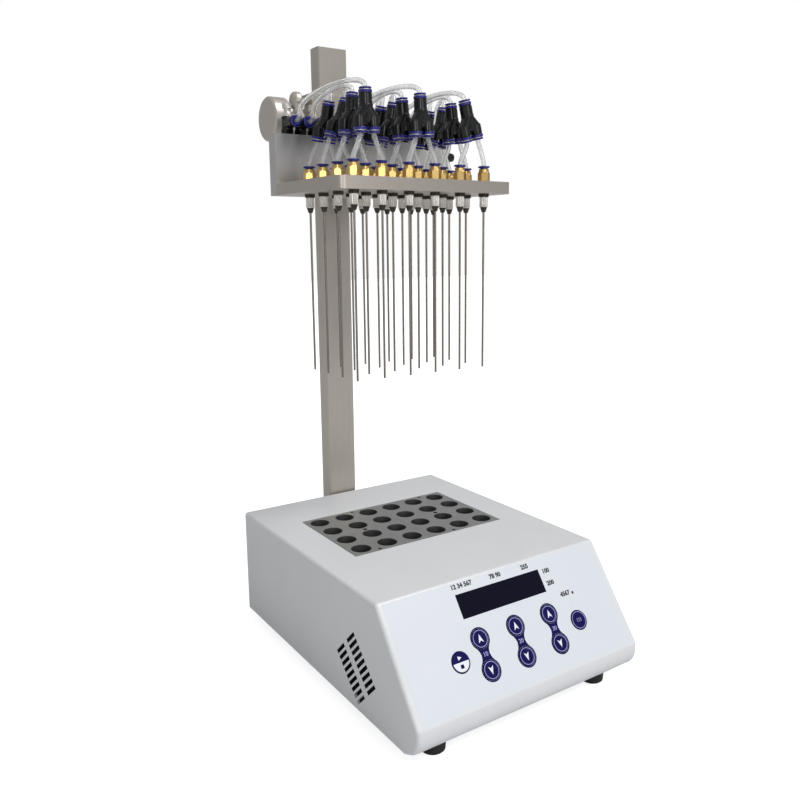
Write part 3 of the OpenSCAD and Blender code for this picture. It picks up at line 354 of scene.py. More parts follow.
nodeFinish = {
    "keypad_overlay": "polyesterFilm", "display_window": "tintedAcrylic", "control_board": "solderMask",
    "power_supply": "solderMask", "heater_mat": "redSilicone", "insulation_tray": "insulationBoard",
    "temperature_probes": "zincSteel", "base_plate": "zincSteel", "rubber_feet": "footRubber",
    "case_screws": "zincSteel", "inlet_pins": "nickelPlate", "column_rack": "zincSteel",
    "bracket_screws": "zincSteel", "glide_pads": "glidePolymer", "head_screws": "zincSteel",
    "needles": "drawnStainless", "pinion_shaft": "zincSteel",
}


def paintNode(name, finish):
    # every slot of a node gets the finish, and its mesh stays as it is
    node = nodes[name]
    if not node.material_slots:
        node.data.materials.append(finishes[finish])
    for slot in node.material_slots:
        slot.material = finishes[finish]


for nodeName, finish in nodeFinish.items():
    paintNode(nodeName, finish)

# nodes whose edges are softened: (finish, slot of the record, edge width in mm)
softEdges = {
    "housing_shell": ("mouldedAbs", "housing_plastic", 0.25),
    "heating_block_left": ("blastedAluminium", "block_aluminium", 0.35),
    "heating_block_right": ("blastedAluminium", "block_aluminium", 0.35),
    "column": ("anodisedExtrusion", "column_aluminium", 0.25),
    "column_bracket": ("anodisedPlate", "head_aluminium", 0.4),
    "carriage": ("anodisedPlate", "head_aluminium", 0.4),
    "needle_shelf": ("anodisedPlate", "head_aluminium", 0.5),
    # the manifold gets the lighter copy of the plate finish: painted light
    "manifold": ("paintedLightPlate", "head_aluminium", 0.5),
    "gas_inlet": ("blackNylon", "fitting_black", 0.2),
    "valve_bodies": ("blackNylon", "fitting_black", 0.25),
    "hub_nuts": ("blackenedSteel", "nut_dark", 0.2),
    "power_inlet": ("socketBlack", "inlet_black", 0.25),
    "fuse_drawer": ("socketBlack", "inlet_black", 0.25),
    "power_rocker": ("socketBlack", "inlet_black", 0.3),
    "lift_knob": ("anodisedKnob", "knob_grey", 0.3),
    "lock_knob": ("anodisedKnob", "knob_grey", 0.25),
}
edgeCut = {"mergeM": 2e-6, "flatDeg": 1, "smoothDeg": 32, "sharpDeg": 40, "segments": 2}


def softenEdges(name, finish, slot, width):
    # a merged copy of the solid with its sharp edges rounded, so that they catch the light
    mesh = nodes[name].data.copy()
    tidyMesh(mesh, edgeCut["mergeM"])
    work = bmesh.new()
    work.from_mesh(mesh)
    bmesh.ops.dissolve_limit(work, angle_limit=math.radians(edgeCut["flatDeg"]), verts=work.verts,
                             edges=work.edges)
    work.to_mesh(mesh)
    work.free()
    mesh.polygons.foreach_set("use_smooth", np.ones(len(mesh.polygons), bool))
    mesh.set_sharp_from_angle(angle=math.radians(edgeCut["smoothDeg"]))
    piece = bpy.data.objects.new(name + "_finished", mesh)
    bevel = piece.modifiers.new("softEdge", "BEVEL")
    bevel.width = width * mm
    bevel.segments = edgeCut["segments"]
    bevel.limit_method = "ANGLE"
    bevel.angle_limit = math.radians(edgeCut["sharpDeg"])
    bevel.harden_normals = True
    bevel.use_clamp_overlap = True
    return dressPiece(piece, nodes[name]["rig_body"], finishes[finish], [name])


def shadeFaces(piece, finish, pick):
    # a finish of their own for the faces that pick(centres in mm, normals) chooses
    mesh = piece.data
    mesh.materials.append(finishes[finish])
    centre = np.zeros(len(mesh.polygons) * 3, np.float32)
    normal = np.zeros(len(mesh.polygons) * 3, np.float32)
    mesh.polygons.foreach_get("center", centre)
    mesh.polygons.foreach_get("normal", normal)
    chosen = pick(centre.reshape(-1, 3) / mm, normal.reshape(-1, 3))
    mesh.polygons.foreach_set("material_index", chosen.astype(np.int32))


slotWalls = {"wallMm": 3.3, "skinMm": 0.1, "fromMm": (-110, 22), "toMm": (-40, 80)}  # y and z of the region
boreWalls = {"rimMm": 1}
across = 0.3  # a face lies across an axis when that part of its normal is smaller


def inSlots(centre, normal):
    # the walls of the cooling slots: faces across x, within the thickness of a side wall
    reach = nodePoints("housing_shell")[:, 0].max() / mm
    depth = reach - np.abs(centre[:, 0])
    inWall = (depth < slotWalls["wallMm"]) & (depth > slotWalls["skinMm"])
    inside = np.all((centre[:, 1:] > slotWalls["fromMm"]) & (centre[:, 1:] < slotWalls["toMm"]), axis=1)
    return inWall & inside & (np.abs(normal[:, 0]) < across)


def inBores(centre, normal):
    # the walls of the wells: upright faces that lie further than the rim inside the block's outline
    flat = centre[:, :2]
    inside = (flat > flat.min(axis=0) + boreWalls["rimMm"]) & (flat < flat.max(axis=0) - boreWalls["rimMm"])
    return np.all(inside, axis=1) & (np.abs(normal[:, 2]) < across)


softPieces = {name: softenEdges(name, *look) for name, look in softEdges.items()}
shadeFaces(softPieces["housing_shell"], "slotShade", inSlots)
# the wells' upright walls get a darker finish: painted shade
for blockName in ("heating_block_left", "heating_block_right"):
    shadeFaces(softPieces[blockName], "paintedWellShade", inBores)
print("edges softened:", len(softEdges))

# what is printed on the control panel, in mm
panelPrint = {
    "inkMm": 0.05,  # thickness of a printed layer
    "keyR": 7.35,  # edge of the hole round an arrow key
    "padR": 8.4,  # navy disc round an arrow key
    "waistW": 3.9,  # half width of the waist between two arrows
    "ringR": (5.8, 6.25),  # pale ring on a key
    "arrowMm": (2.3, 3.3, 2.9, 1.3),  # half width, tip, tail, notch
    "windowMm": 1.25,  # from the middle of the display window up to the film's face
    "typeScale": 1.4,  # type size over the height of its digits
}
acrossPanel = np.array([1.0, 0, 0])
panelOut = np.array(jointNamed["key_start_press"]["axis"])
panelOut /= np.linalg.norm(panelOut)
panelDown = np.cross(panelOut, acrossPanel)
if panelDown[2] > 0:
    panelDown = -panelDown


def keyTop(name):
    # middle of the cap's face: the points that lie highest along the panel's normal
    points = nodePoints(name)
    height = points @ panelOut
    face = points[height > height.max() - 2e-5]
    side, down = face[:, 0], face @ panelDown
    return (acrossPanel * (side.min() + side.max()) / 2
            + panelDown * (down.min() + down.max()) / 2 + panelOut * height.max())


def panelFrame(centre, turn=0.0):
    # x across the panel, y down the slope, z outwards, turned about z
    c, s = math.cos(turn), math.sin(turn)
    return np.column_stack([acrossPanel * c + panelDown * s, panelDown * c - acrossPanel * s, panelOut,
                            centre])


def bandShape(inner, outer, start=0.0, end=2 * math.pi, steps=64):
    # polar band, one ink layer thick: x = r sin a, y = r cos a, with r from inner to outer (in mm, one value
    # or one for each angle) and a from start to end, measured from down the slope
    angle = np.linspace(start, end, steps)
    ring = [(inner, 0.0), (outer, 0.0), (outer, panelPrint["inkMm"]), (inner, panelPrint["inkMm"])]
    points = np.stack([np.stack([radius * np.sin(angle) * mm, radius * np.cos(angle) * mm,
                                 np.full_like(angle, height * mm)], axis=1) for radius, height in ring])
    faces = gridFaces(4, steps, closeRows=True, closeColumns=False)
    if end - start < 2 * math.pi - 1e-6:
        first = np.arange(4) * steps
        faces = np.concatenate([faces, first[None], (first + steps - 1)[None, ::-1]])
    return points.reshape(-1, 3), faces


def plateShape(outline, lift=0.0):
    # a closed flat plate over a star-shaped outline in mm, lifted from the face: rings from its middle out
    outline = np.asarray(outline, float)
    centre = outline.mean(axis=0)
    low, high = lift * mm, (lift + panelPrint["inkMm"]) * mm
    rings = [(centre + 0 * outline, low), (outline, low), (outline, high), (centre + 0 * outline, high)]
    points = np.stack([np.column_stack([flat * mm, np.full(len(flat), height)]) for flat, height in rings])
    return points.reshape(-1, 3), gridFaces(4, len(outline))


def waistRadius(angle):
    # outline of the navy pad seen from one key: a circle of radius R, then a fillet of radius f that touches
    # it and the waist w: f = (w^2 + reach^2 - R^2) / (2 (R - w)), half = w + f - sqrt(f^2 - (reach - down)^2)
    reach, w, full = arrowGap / 2, panelPrint["waistW"], panelPrint["padR"]
    fillet = (w ** 2 + reach ** 2 - full ** 2) / (2 * (full - w))
    down = np.linspace(0, reach, 200)
    circle = np.sqrt(np.clip(full ** 2 - down ** 2, 0, None))
    waist = w + fillet - np.sqrt(np.clip(fillet ** 2 - (reach - down) ** 2, 0, None))
    half = np.where(down < reach * full / (full + fillet), circle, waist)
    sight = np.arctan2(half, down)[::-1]
    length = np.hypot(half, down)[::-1]
    side = np.abs((angle + np.pi) % (2 * np.pi) - np.pi)
    flat = reach / np.cos(np.minimum(side, 1.2))
    seen = np.where(side < sight[0], flat, np.interp(side, sight, length))
    return np.where(side > np.pi / 2, full, seen)


def numberShape(text, heightMm, place, lift=0.0, boldMm=0.0):
    # a printed number as a closed mesh: type one ink layer thick, p -> R p + t in its place on the panel
    curve = bpy.data.curves.new("number", "FONT")
    curve.body = text
    curve.size = heightMm * panelPrint["typeScale"] * mm
    curve.align_x = "CENTER"
    curve.align_y = "CENTER"
    curve.extrude = panelPrint["inkMm"] * mm / 2
    curve.offset = boldMm * mm
    curve.resolution_u = 3
    source = bpy.data.objects.new("number", curve)
    bpy.context.scene.collection.objects.link(source)
    bpy.context.view_layer.update()
    mesh = bpy.data.meshes.new_from_object(source)
    bpy.data.objects.remove(source)
    points = np.zeros(len(mesh.vertices) * 3, np.float32)
    mesh.vertices.foreach_get("co", points)
    points = points.reshape(-1, 3) * (1, -1, 1) + (0, 0, (lift + panelPrint["inkMm"] / 2) * mm)
    mesh.vertices.foreach_set("co", (points @ place[:, :3].T + place[:, 3]).astype(np.float32).ravel())
    tidyMesh(mesh, 1e-7)
    return mesh


def addNumbers(name, meshes, body, material):
    # several printed numbers joined into one piece
    work = bmesh.new()
    for mesh in meshes:
        work.from_mesh(mesh)
    joined = bpy.data.meshes.new(name)
    work.to_mesh(joined)
    work.free()
    return dressPiece(bpy.data.objects.new(name, joined), body, material)


upKeys = [f"key_up_{k}" for k in (1, 2, 3)]
downKeys = [f"key_down_{k}" for k in (1, 2, 3)]
arrowGap = (keyTop("key_down_1") - keyTop("key_up_1")) @ panelDown / mm
# the film's face, measured from a key's face
filmLevel = (middle("display_window") - keyTop("key_up_1")) @ panelOut + panelPrint["windowMm"] * mm


def onFilm(keyName, turn=0.0):
    # the panel's frame round a key, at the height of the film
    return panelFrame(keyTop(keyName) + panelOut * filmLevel, turn)


padAngles = np.linspace(0, 2 * math.pi, 145)
padShape = bandShape(panelPrint["keyR"], waistRadius(padAngles), steps=145)
padFrames = [onFilm(key) for key in upKeys] + [onFilm(key, math.pi) for key in downKeys]
addPiece("arrow_pads", copies(padShape, padFrames), "base", finishes["navyInk"])

waistMarks = {"heightMm": 3.2, "boldMm": 0.05, "texts": ("10", "20", "30")}
waistFrames = [panelFrame((keyTop(a) + keyTop(b)) / 2 + panelOut * filmLevel)
               for a, b in zip(upKeys, downKeys)]
waistNumbers = [numberShape(text, waistMarks["heightMm"], place, panelPrint["inkMm"], waistMarks["boldMm"])
                for text, place in zip(waistMarks["texts"], waistFrames)]
addNumbers("waist_numbers", waistNumbers, "base", finishes["ringInk"])

halfWidth, tip, tail, notch = panelPrint["arrowMm"]
arrowShape = plateShape([(0, tip), (halfWidth, -tail), (0, -notch), (-halfWidth, -tail)])
ringShape = bandShape(*panelPrint["ringR"])
for keyName in upKeys + downKeys:
    turn = math.pi if keyName in upKeys else 0.0
    paintNode(keyName, "navyInk")
    addPiece(keyName + "_arrow", copies(arrowShape, [panelFrame(keyTop(keyName), turn)]),
             keyName, finishes["paleInk"])
    addPiece(keyName + "_ring", copies(ringShape, [panelFrame(keyTop(keyName))]),
             keyName, finishes["ringInk"])
print("arrow keys printed")

# both round caps are navy; the lower half of the start key is white, with a play mark over a stop mark
roundKeys = {"halfR": 6.7, "playMm": 1.5, "stopMm": 1.4, "markOffset": 3.1, "rimR": (6.2, 6.65),
             "number": ("123", 2.6)}
for keyName in ("key_start", "key_menu"):
    paintNode(keyName, "navyInk")
startFrame = panelFrame(keyTop("key_start"))
play, stop, offset = roundKeys["playMm"], roundKeys["stopMm"], roundKeys["markOffset"]
halfDisc = bandShape(0.01, roundKeys["halfR"], -math.pi / 2, math.pi / 2, 48)
playShape = plateShape([(-play, -play - offset), (-play, play - offset), (play * 1.2, -offset)])
addPiece("key_start_half", copies(together(halfDisc, playShape), [startFrame]), "key_start",
         finishes["paleInk"])
stopShape = plateShape([(-stop, offset - stop), (stop, offset - stop), (stop, offset + stop),
                        (-stop, offset + stop)], panelPrint["inkMm"])
addPiece("key_start_stop", copies(stopShape, [startFrame]), "key_start", finishes["navyInk"])
menuFrame = panelFrame(keyTop("key_menu"))
addPiece("key_menu_rim", copies(bandShape(*roundKeys["rimR"]), [menuFrame]), "key_menu",
         finishes["ringInk"])
addNumbers("key_menu_number", [numberShape(*roundKeys["number"], menuFrame)], "key_menu",
           finishes["ringInk"])
print("round keys printed")

# plain numbers beside the display: (text, x and distance down the slope from the display's middle, mm)
labels = {
    "heightMm": 3.45, "boldMm": 0.24, "squareMm": 1.0, "squareAt": (65.8, 16.2),
    "texts": [("12 34 567", -33.0, -14.8), ("78 90", -0.5, -14.3), ("255", 29.5, -14.0),
              ("100", 48.3, -6.2), ("200", 48.3, 3.7), ("4567", 58.0, 15.2)],
}


def besideDisplay(x, down):
    # a place on the film, x and down in mm from the middle of the display window
    shift = acrossPanel * x + panelDown * down + panelOut * panelPrint["windowMm"]
    return panelFrame(middle("display_window") + shift * mm)


numberMeshes = [numberShape(text, labels["heightMm"], besideDisplay(x, down), 0.0, labels["boldMm"])
                for text, x, down in labels["texts"]]
addNumbers("panel_numbers", numberMeshes, "base", finishes["labelInk"])
edge = labels["squareMm"]
squareShape = plateShape([(-edge, -edge), (edge, -edge), (edge, edge), (-edge, edge)])
addPiece("panel_square", copies(squareShape, [besideDisplay(*labels["squareAt"])]), "base",
         finishes["labelInk"])
print("numbers printed")

# the gas head: needle lines on the shelf's grid, in mm
grid = {"columns": 6, "rows": 4, "pitchX": 25.4, "pitchY": 24.6, "midY": 15.35, "shelfTop": 404.0}
columnX = (np.arange(grid["columns"]) - (grid["columns"] - 1) / 2) * grid["pitchX"]
rowY = grid["midY"] + (np.arange(grid["rows"]) - (grid["rows"] - 1) / 2) * grid["pitchY"]


def upright(x, y, z):
    # a frame on +Z, its origin in mm
    return axisFrame((x * mm, y * mm, z * mm), (0, 0, 1))


def needleFrames(z):
    # one frame on each needle's axis, row by row
    return [upright(x, y, z) for y in rowY for x in columnX]


def scaled(shape):
    # from mm to metres
    points, faces = shape
    return points * mm, faces


brass = {"hexR": 4.5, "height": 8.0, "corner": 0.1, "coneSlope": 0.55, "coneH": 1.2, "neckR": 4.2,
         "neckH": 10.6, "neckEdge": 0.3, "boreR": 2.2, "shankR": 3.0, "shankL": 2}


def hexagonWaves(angle, radius, height):
    # on the hexagon, radius = the smaller of a / cos(angle from a flat's middle) and a cone at both ends that
    # rounds the corners off
    fromFlat = (angle + math.pi / 6) % (math.pi / 3) - math.pi / 6
    hexagon = brass["hexR"] / np.cos(fromFlat)
    fromEnd = np.minimum(height, brass["height"] - height)
    cone = brass["hexR"] + brass["corner"] + fromEnd * brass["coneSlope"]
    return np.where(radius > brass["hexR"] - 0.01, np.minimum(hexagon, cone), radius)


def brassShape():
    # shank, hexagon and neck in one profile, turned about Z and cut by the hexagon
    b = brass
    rounded = np.linspace(0, b["coneH"], 7)
    heights = np.concatenate([rounded, np.linspace(b["coneH"] + 0.4, b["height"] - b["coneH"] - 0.4, 4),
                              b["height"] - rounded[::-1]])
    profile = [(b["boreR"], -b["shankL"]), (b["shankR"], -b["shankL"]), (b["shankR"], 0)]
    profile += [(b["hexR"], z) for z in heights]
    profile += [(b["neckR"], b["height"]), (b["neckR"], b["neckH"] - b["neckEdge"]),
                (b["neckR"] - b["neckEdge"], b["neckH"]), (b["boreR"], b["neckH"]), profile[0]]
    return scaled(revolve(profile, 72, hexagonWaves))


addPiece("brass_hexagons", copies(brassShape(), needleFrames(grid["shelfTop"])), "head",
         finishes["machinedBrass"], ["brass_fittings"], 28)

hub = {"r": 3.5, "length": 8.5, "land": 0.8, "ribs": 12, "ribDepth": 0.28, "top": 391.7, "taperR": 1.6,
       "taperL": 4.2, "boreR": 0.95}


def hubShape():
    # ribbed sleeve: r = R - depth * (1 - cos(n a)) on the barrel, plain lands at its ends
    def ribs(angle, radius, height):
        barrel = (radius > hub["r"] - 0.05) & (height < -hub["land"]) & (height > hub["land"] - hub["length"])
        return np.where(barrel, radius - hub["ribDepth"] * (1 - np.cos(hub["ribs"] * angle)), radius)
    r, length, land = hub["r"], hub["length"], hub["land"]
    profile = [(hub["boreR"], 0), (r - 0.2, 0), (r, -0.2), (r, 0.05 - land), (r, -0.05 - land),
               (r, land + 0.05 - length), (r, land - 0.05 - length), (r, 0.2 - length), (r - 0.2, -length),
               (hub["boreR"], -length), (hub["boreR"], 0)]
    return scaled(revolve(profile, 96, ribs))


def taperShape():
    # dark collet below the sleeve: a short barrel, then a cone down to the needle, turned about Z
    r, bottom = hub["r"] - 0.6, -hub["taperL"]
    profile = [(hub["boreR"], -0.01), (r, -0.01), (r, -0.8), (r - 0.25, -1.2),
               (hub["taperR"] + 0.2, bottom + 0.3), (hub["taperR"], bottom), (hub["boreR"], bottom),
               (hub["boreR"], -0.01)]
    points, faces = revolve(profile, 32)
    return scaled((points - (0, 0, hub["length"]), faces))


addPiece("hub_sleeves", copies(hubShape(), needleFrames(hub["top"])), "head",
         finishes["nickelPlate"], ["needle_hubs"], 50)
addPiece("hub_collets", copies(taperShape(), needleFrames(hub["top"])), "head",
         finishes["blackenedSteel"])
print("needle line made")

unions = {
    "columns": 3, "z": 436.5, "length": 33.5, "gap": 12.0, "ringH": 2.4,
    "legPort": (4.9, 10.4, 1.0), "headPort": (5.2, 11.4, 0.6),  # radius, length, step
    "collar": [(0, 19.5), (5.4, 19.5), (5.55, 19.8), (5.55, 20.5), (5.4, 20.8), (0, 20.8)],
    "tilt": [(-2, -3, -15), (3, -5, -7), (15, 6, 8), (4, 4, 3)],  # degrees, a row of fittings in each
    "lean": (0, 0, 4, 12), "shift": (0, 0, 0, 3),  # degrees forward and mm to the front, row by row
}
# the moulding between legs and head: values at their heights, in mm
shoulder = {
    "heights": (7.6, 8.2, 9.5, 11.0, 12.2, 13.4, 14.6, 15.8, 17.0, 18.2, 19.4, 20.6),
    "spread": ((7.6, 11.5, 19.4, 20.6), (6.0, 6.0, 0.3, 0.0)),
    "radius": ((7.6, 12, 16, 20.6), (4.7, 4.75, 4.85, 5.0)),
    "web": ((7.6, 9.0, 14.0, 20.6), (1.6, 2.6, 3.1, 4.9)),
}


def unionFrame(column, row):
    # Rx(lean) then Ry(tilt), as the solids stand
    a, b = math.radians(unions["lean"][row]), math.radians(unions["tilt"][row][column])
    turnX = np.array([[1, 0, 0], [0, math.cos(a), -math.sin(a)], [0, math.sin(a), math.cos(a)]])
    turnY = np.array([[math.cos(b), 0, math.sin(b)], [0, 1, 0], [-math.sin(b), 0, math.cos(b)]])
    at = np.array([(column - 1) * 2 * grid["pitchX"], rowY[row] - unions["shift"][row], unions["z"]])
    return np.column_stack([turnY @ turnX, at * mm])


unionFrames = {(c, r): unionFrame(c, r) for c in range(unions["columns"]) for r in range(grid["rows"])}


def shoulderShape():
    # sections of two round legs, x = +-spread, and the web between them, which close up into the barrel:
    # y = sqrt(r^2 - (|x| - spread)^2), but never less than the web's half thickness between the legs
    height = np.array(shoulder["heights"])[:, None]
    spread, radius, web = [np.interp(height, *shoulder[k]) for k in ("spread", "radius", "web")]
    angle = np.linspace(0, 2 * np.pi, 96, endpoint=False)[None, :]
    x = (spread + radius) * np.cos(angle)
    rounded = np.sqrt(np.clip(radius ** 2 - (np.abs(x) - spread) ** 2, 0, None))
    half = np.where(np.abs(x) < spread, np.maximum(rounded, np.minimum(web, radius)), rounded)
    y = np.sign(np.sin(angle)) * np.where(np.abs(np.sin(angle)) < 1e-9, 0, half)
    points = np.stack([x, y, np.repeat(height, angle.size, axis=1)], axis=2)
    capped = np.concatenate([points[:1] * (0, 0, 1), points, points[-1:] * (0, 0, 1)])
    return scaled((capped.reshape(-1, 3), gridFaces(len(capped), angle.size)))


def portShape(radius, length, step):
    # barrel of a push-in port, turned about Z: a lip, a groove under it, and a step where the moulding begins
    profile = [(2.3, 0), (radius - 0.35, 0), (radius, 0.35), (radius, 1.7), (radius - 0.3, 2.0),
               (radius - 0.3, 2.5), (radius, 2.8), (radius, length - step),
               (radius - 0.3, length - step + 0.3), (radius - 0.3, length), (0, length), (0, 6.9), (2.3, 6.9),
               (2.3, 0)]
    return scaled(revolve(profile, 40))


def unionShape():
    # two leg ports that point down, the shoulder, a collar and the head's port that points up
    u = unions
    legs = [axisFrame((s * u["gap"] / 2 * mm, 0, u["ringH"] * mm), (0, 0, 1)) for s in (-1, 1)]
    head = axisFrame((0, 0, (u["length"] - u["ringH"]) * mm), (0, 0, -1))
    return together(shoulderShape(), copies(portShape(*u["legPort"]), legs),
                    copies(portShape(*u["headPort"]), [head]), scaled(revolve(u["collar"], 40)))


addPiece("y_fittings", copies(unionShape(), list(unionFrames.values())), "head",
         finishes["blackNylon"], ["y_unions"], 40)

# release rings, and the bright lips and blue collars of the ports: (radius, height above the port's face)
ringProfile = [(2.15, 0), (3.2, 0), (3.2, 0.8), (4.5, 0.9), (4.85, 1.2), (4.9, 1.6), (4.8, 2.1), (4.5, 2.35),
               (3.3, 2.4), (2.7, 2.3), (2.45, 2.0), (2.15, 2.0), (2.15, 0)]
lipProfile = [(3.25, 0.1), (4.5, 0.1), (4.65, 0.25), (4.65, 0.6), (4.5, 0.75), (3.25, 0.75), (3.25, 0.1)]
collarProfile = [(4.0, -1.8), (5.15, -1.8), (5.3, -1.6), (5.3, 0.0), (5.1, 0.2), (4.0, 0.2), (4.0, -1.8)]


def portFaces():
    # the face of every port on the Y fittings, its axis pointing out of the fitting
    low, high, half = unions["ringH"], unions["length"] - unions["ringH"], unions["gap"] / 2
    spots = [((-half, 0, low), -1), ((half, 0, low), -1), ((0, 0, high), 1)]
    return [axisFrame(place[:, :3] @ (np.array(at) * mm) + place[:, 3], place[:, 2] * way, place[:, 0])
            for place in unionFrames.values() for at, way in spots]


def ringFaces():
    # where a release ring stands: on the Y fittings, on the brass necks and on the valves' ports
    necks = needleFrames(grid["shelfTop"] + brass["neckH"])
    faceY = valves["axisY"] - valves["portL"]
    ports = [axisFrame((x * mm, faceY * mm, valves["portZ"] * mm), (0, -1, 0)) for x in valveX]
    return portFaces() + necks + ports


tubes = {"outer": 2.0, "inner": 1.25, "inPort": 5.5, "ringH": 2.4, "sides": 20, "feedSteps": 26,
         "branchSteps": 14, "branchPull": 0.22}
valves = {
    "count": 12, "pitch": 12.33, "axisY": 82.35, "portZ": 455.0, "portL": 15.0, "bendR": 7.0,
    "rise": (14, 13, 14, 20),  # how strongly a tube's curve is pulled up, row by row
    "ofRow": (0, 1, 3, 2),  # which of a column's valves feeds a row
    "top": 445.4, "bodyH": 14.6,
}
valveX = (np.arange(valves["count"]) - (valves["count"] - 1) / 2) * valves["pitch"]
addPiece("release_sleeves", together(copies(scaled(revolve(ringProfile, 40)), ringFaces()),
                                     copies(scaled(revolve(collarProfile, 40)), portFaces())),
         "head", finishes["blueAcetal"], ["release_rings"], 50)
addPiece("port_lips", copies(scaled(revolve(lipProfile, 40)), portFaces()), "head",
         finishes["nickelPlate"])
print("Y fittings made")


def bezier(a, b, c, d, t):
    # (1-t)^3 a + 3 (1-t)^2 t b + 3 (1-t) t^2 c + t^3 d
    t = np.asarray(t)[:, None]
    return (1 - t) ** 3 * a + 3 * (1 - t) ** 2 * t * b + 3 * (1 - t) * t ** 2 * c + t ** 3 * d


def tubeShape(path, side):
    # a thick-walled tube carried along the path: both walls and the end rings, in frames kept square to side
    ahead = np.gradient(path, axis=0)
    ahead /= np.linalg.norm(ahead, axis=1)[:, None]
    u = np.cross(ahead, side)
    u /= np.linalg.norm(u, axis=1)[:, None]
    v = np.cross(ahead, u)
    angle = np.linspace(0, 2 * np.pi, tubes["sides"], endpoint=False)
    spokes = u[:, None] * np.cos(angle)[:, None] + v[:, None] * np.sin(angle)[:, None]
    outer = path[:, None] + spokes * tubes["outer"]
    inner = path[::-1, None] + spokes[::-1] * tubes["inner"]
    points = np.concatenate([outer, inner])
    return scaled((points.reshape(-1, 3), gridFaces(len(points), tubes["sides"], closeRows=True)))


def feedPath(column, row):
    # straight out of the valve's port, a quarter bend up, then one long curve down into the fitting
    place = unionFrames[(column, row)]
    up = place[:, 2]
    x = valveX[grid["rows"] * column + valves["ofRow"][row]]
    faceY = valves["axisY"] - valves["portL"] - tubes["ringH"]
    face = np.array([x, faceY, valves["portZ"]])
    top = np.array([x, faceY - 1 - valves["bendR"], valves["portZ"] + valves["bendR"]])
    end = place[:, 3] / mm + up * unions["length"]
    rise = valves["rise"][row]
    bend = np.radians(np.linspace(0, 80, 9))[:, None]
    quarter = (np.array([x, faceY - 1, valves["portZ"]])
               + valves["bendR"] * (np.sin(bend) * (0, -1, 0) + (1 - np.cos(bend)) * (0, 0, 1)))
    curve = bezier(top, top + (0, 0, rise), end + rise * up, end, np.linspace(0, 1, tubes["feedSteps"]))
    start = face + np.array([0, tubes["ringH"] + tubes["inPort"], 0])
    return np.concatenate([[start, face], quarter, curve, [end - up * (tubes["ringH"] + tubes["inPort"])]])


def branchPath(column, row, side):
    # straight out of the fitting's leg and straight into the brass neck, one curve between
    place = unionFrames[(column, row)]
    start = (place[:, 3] / mm) + place[:, 0] * side * unions["gap"] / 2
    down = -place[:, 2]
    end = np.array([(column - 1) * 2 * grid["pitchX"] + side * grid["pitchX"] / 2, rowY[row],
                    grid["shelfTop"] + brass["neckH"] + tubes["ringH"]])
    pull = tubes["branchPull"] * np.linalg.norm(end - start)
    share = np.linspace(0, 1, tubes["branchSteps"])
    curve = bezier(start, start + pull * down, end + (0, 0, pull), end, share)
    deep = tubes["ringH"] + tubes["inPort"]
    return np.concatenate([[start - down * deep], curve, [end - np.array([0, 0, deep])]])


fittingPlaces = sorted(unionFrames)
feedShapes = [tubeShape(feedPath(c, r), (1, 0, 0)) for c, r in fittingPlaces]
branchShapes = [tubeShape(branchPath(c, r, s), (0, 1, 0)) for c, r in fittingPlaces for s in (-1, 1)]
addPiece("feed_tubing", together(*feedShapes), "head", finishes["clearTubing"],
         ["feed_tubes"], 60)
addPiece("branch_tubing", together(*branchShapes), "head", finishes["clearTubing"],
         ["branch_tubes"], 60)
print("tubing made")

valveKnob = {"r": 4.0, "knurls": 30, "depth": 0.22, "low": 0.15}


def valveKnobShape():
    # collar, neck and knurled head: r = R - depth * |sin(n a / 2)| on the head
    def knurl(angle, radius, height):
        head = (radius > 3.95) & (height > 7.2) & (height < 10.8)
        cut = valveKnob["depth"] * np.abs(np.sin(valveKnob["knurls"] * angle / 2))
        return np.where(head, radius - cut, radius)
    z = valveKnob["low"]
    profile = [(0, z), (3.7, z), (3.9, z + 0.2), (3.9, z + 2.9), (3.7, z + 3.15), (2.7, z + 4.1),
               (2.6, z + 4.4), (2.6, 6.6), (3.7, 6.6), (4.0, 6.9), (4.0, 7.15), (4.0, 7.3), (4.0, 10.7),
               (4.0, 10.85), (3.6, 11.25), (3.3, 11.6), (0, 11.6)]
    return scaled(revolve(profile, 120, knurl))


for index, x in enumerate(valveX):
    name = f"valve_knob_{index + 1}"
    place = upright(x, valves["axisY"], valves["top"] + valves["bodyH"])
    addPiece(name + "_knurled", copies(valveKnobShape(), [place]), name,
             finishes["nickelPlate"], [name], 40)
print("valve knobs made")

# the room: pale floor, even backdrop and soft lamps
room = {"floorM": 6.0, "floorColour": "#d2d3d4", "floorRoughness": 0.7, "floorGlow": 0.8, "worldLevel": 0.39,
        "backdropLevel": 1.0}
white = (1, 1, 1, 1)
lamps = {
    "key": {"kind": "SUN", "at": (0.3, -0.5, 0.81), "aim": (0, 0, 0), "spread": 25, "power": 1.68},
    "window": {"kind": "AREA", "at": (-1.0, 0.5, 1.5), "aim": (0, 0, 0.1), "spread": 0.9, "power": 0.6},
    "front": {"kind": "AREA", "at": (0.15, -2.0, 0.55), "aim": (0, 0, 0.2), "spread": 1.0, "power": 4},
    "glint": {"kind": "AREA", "at": (-1.0, -1.5, 0.6), "aim": (0, 0, 0.4), "spread": 0.35, "power": 1.9},
}


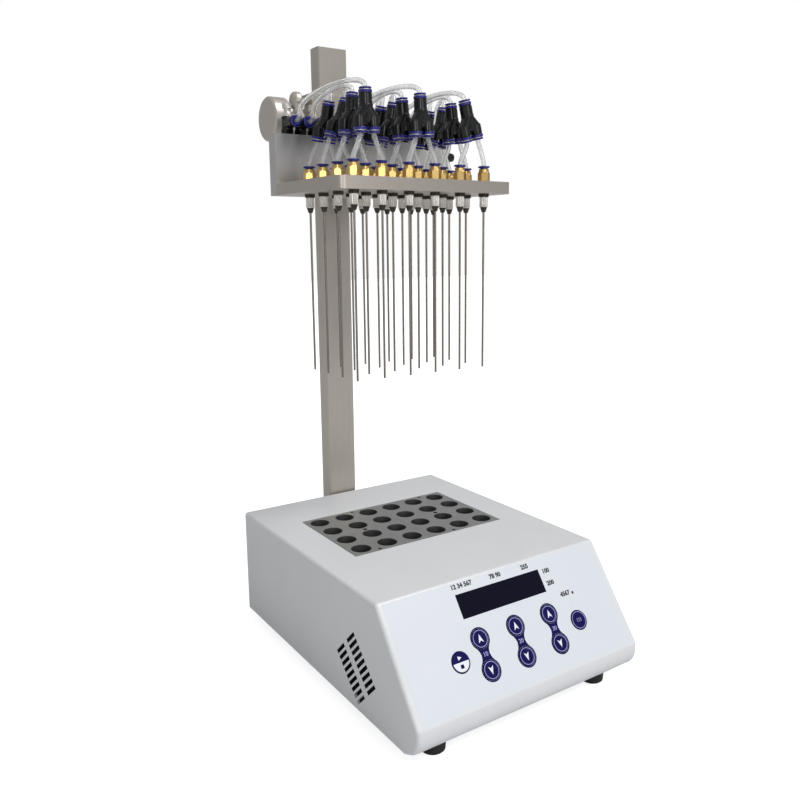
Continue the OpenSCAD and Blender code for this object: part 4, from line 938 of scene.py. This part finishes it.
def makeFloor():
    # a flat grid of (u, v, 0); rays from the camera also see it glow
    size = room["floorM"]
    spots = np.linspace(-size, size, 9)
    u, v = np.meshgrid(spots, spots, indexing="ij")
    points = np.stack([u.ravel(), v.ravel(), np.zeros(u.size)], axis=1)
    mesh = surfaceMesh("floor", points, gridFaces(len(spots), len(spots), closeColumns=False))
    floor = bpy.data.objects.new("floor", mesh)
    bpy.context.scene.collection.objects.link(floor)
    material = bpy.data.materials.new("paleFloor")
    material.use_nodes = True
    tree = material.node_tree
    shader = tree.nodes["Principled BSDF"]
    shader.inputs["Base Color"].default_value = linearColour(room["floorColour"])
    shader.inputs["Roughness"].default_value = room["floorRoughness"]
    path = addNode(tree, "ShaderNodeLightPath")
    seen = addNode(tree, "ShaderNodeMath", {"operation": "MULTIPLY"}, {1: room["floorGlow"]},
                   {0: path.outputs["Is Camera Ray"]})
    tree.links.new(seen.outputs[0], shader.inputs["Emission Strength"])
    shader.inputs["Emission Color"].default_value = white
    mesh.materials.append(material)
    if mesh.polygons[0].normal.z < 0:
        mesh.flip_normals()


def makeWorld():
    # white backdrop for the camera and through clear pieces, a lower level for the light that it gives
    world = bpy.data.worlds.new("studio")
    bpy.context.scene.world = world
    world.use_nodes = True
    tree = world.node_tree
    backdrop = tree.nodes["Background"]
    backdrop.inputs["Color"].default_value = white
    path = addNode(tree, "ShaderNodeLightPath")
    seen = addNode(tree, "ShaderNodeMath", {"operation": "MAXIMUM"}, {},
                   {0: path.outputs["Is Camera Ray"], 1: path.outputs["Is Transmission Ray"]})
    level = addNode(tree, "ShaderNodeMapRange", {},
                    {"To Min": room["worldLevel"], "To Max": room["backdropLevel"]},
                    {"Value": seen.outputs[0]})
    tree.links.new(level.outputs[0], backdrop.inputs["Strength"])


def makeLamp(name, lamp):
    # a wide soft sun (spread in degrees) or a round lamp (spread in metres) that shines from at to aim
    light = bpy.data.lights.new(name, lamp["kind"])
    light.energy = lamp["power"]
    if lamp["kind"] == "SUN":
        light.angle = math.radians(lamp["spread"])
    else:
        light.shape = "DISK"
        light.size = lamp["spread"]
    holder = bpy.data.objects.new(name, light)
    bpy.context.scene.collection.objects.link(holder)
    place = np.eye(4)
    place[:3] = axisFrame(lamp["at"], np.subtract(lamp["at"], lamp["aim"]), (1, 0, 0.01))
    holder.matrix_world = Matrix(place.tolist())


makeFloor()
makeWorld()
for lampName, lamp in lamps.items():
    makeLamp(lampName, lamp)
bpy.context.scene.view_settings.view_transform = "Standard"
print("room lit")
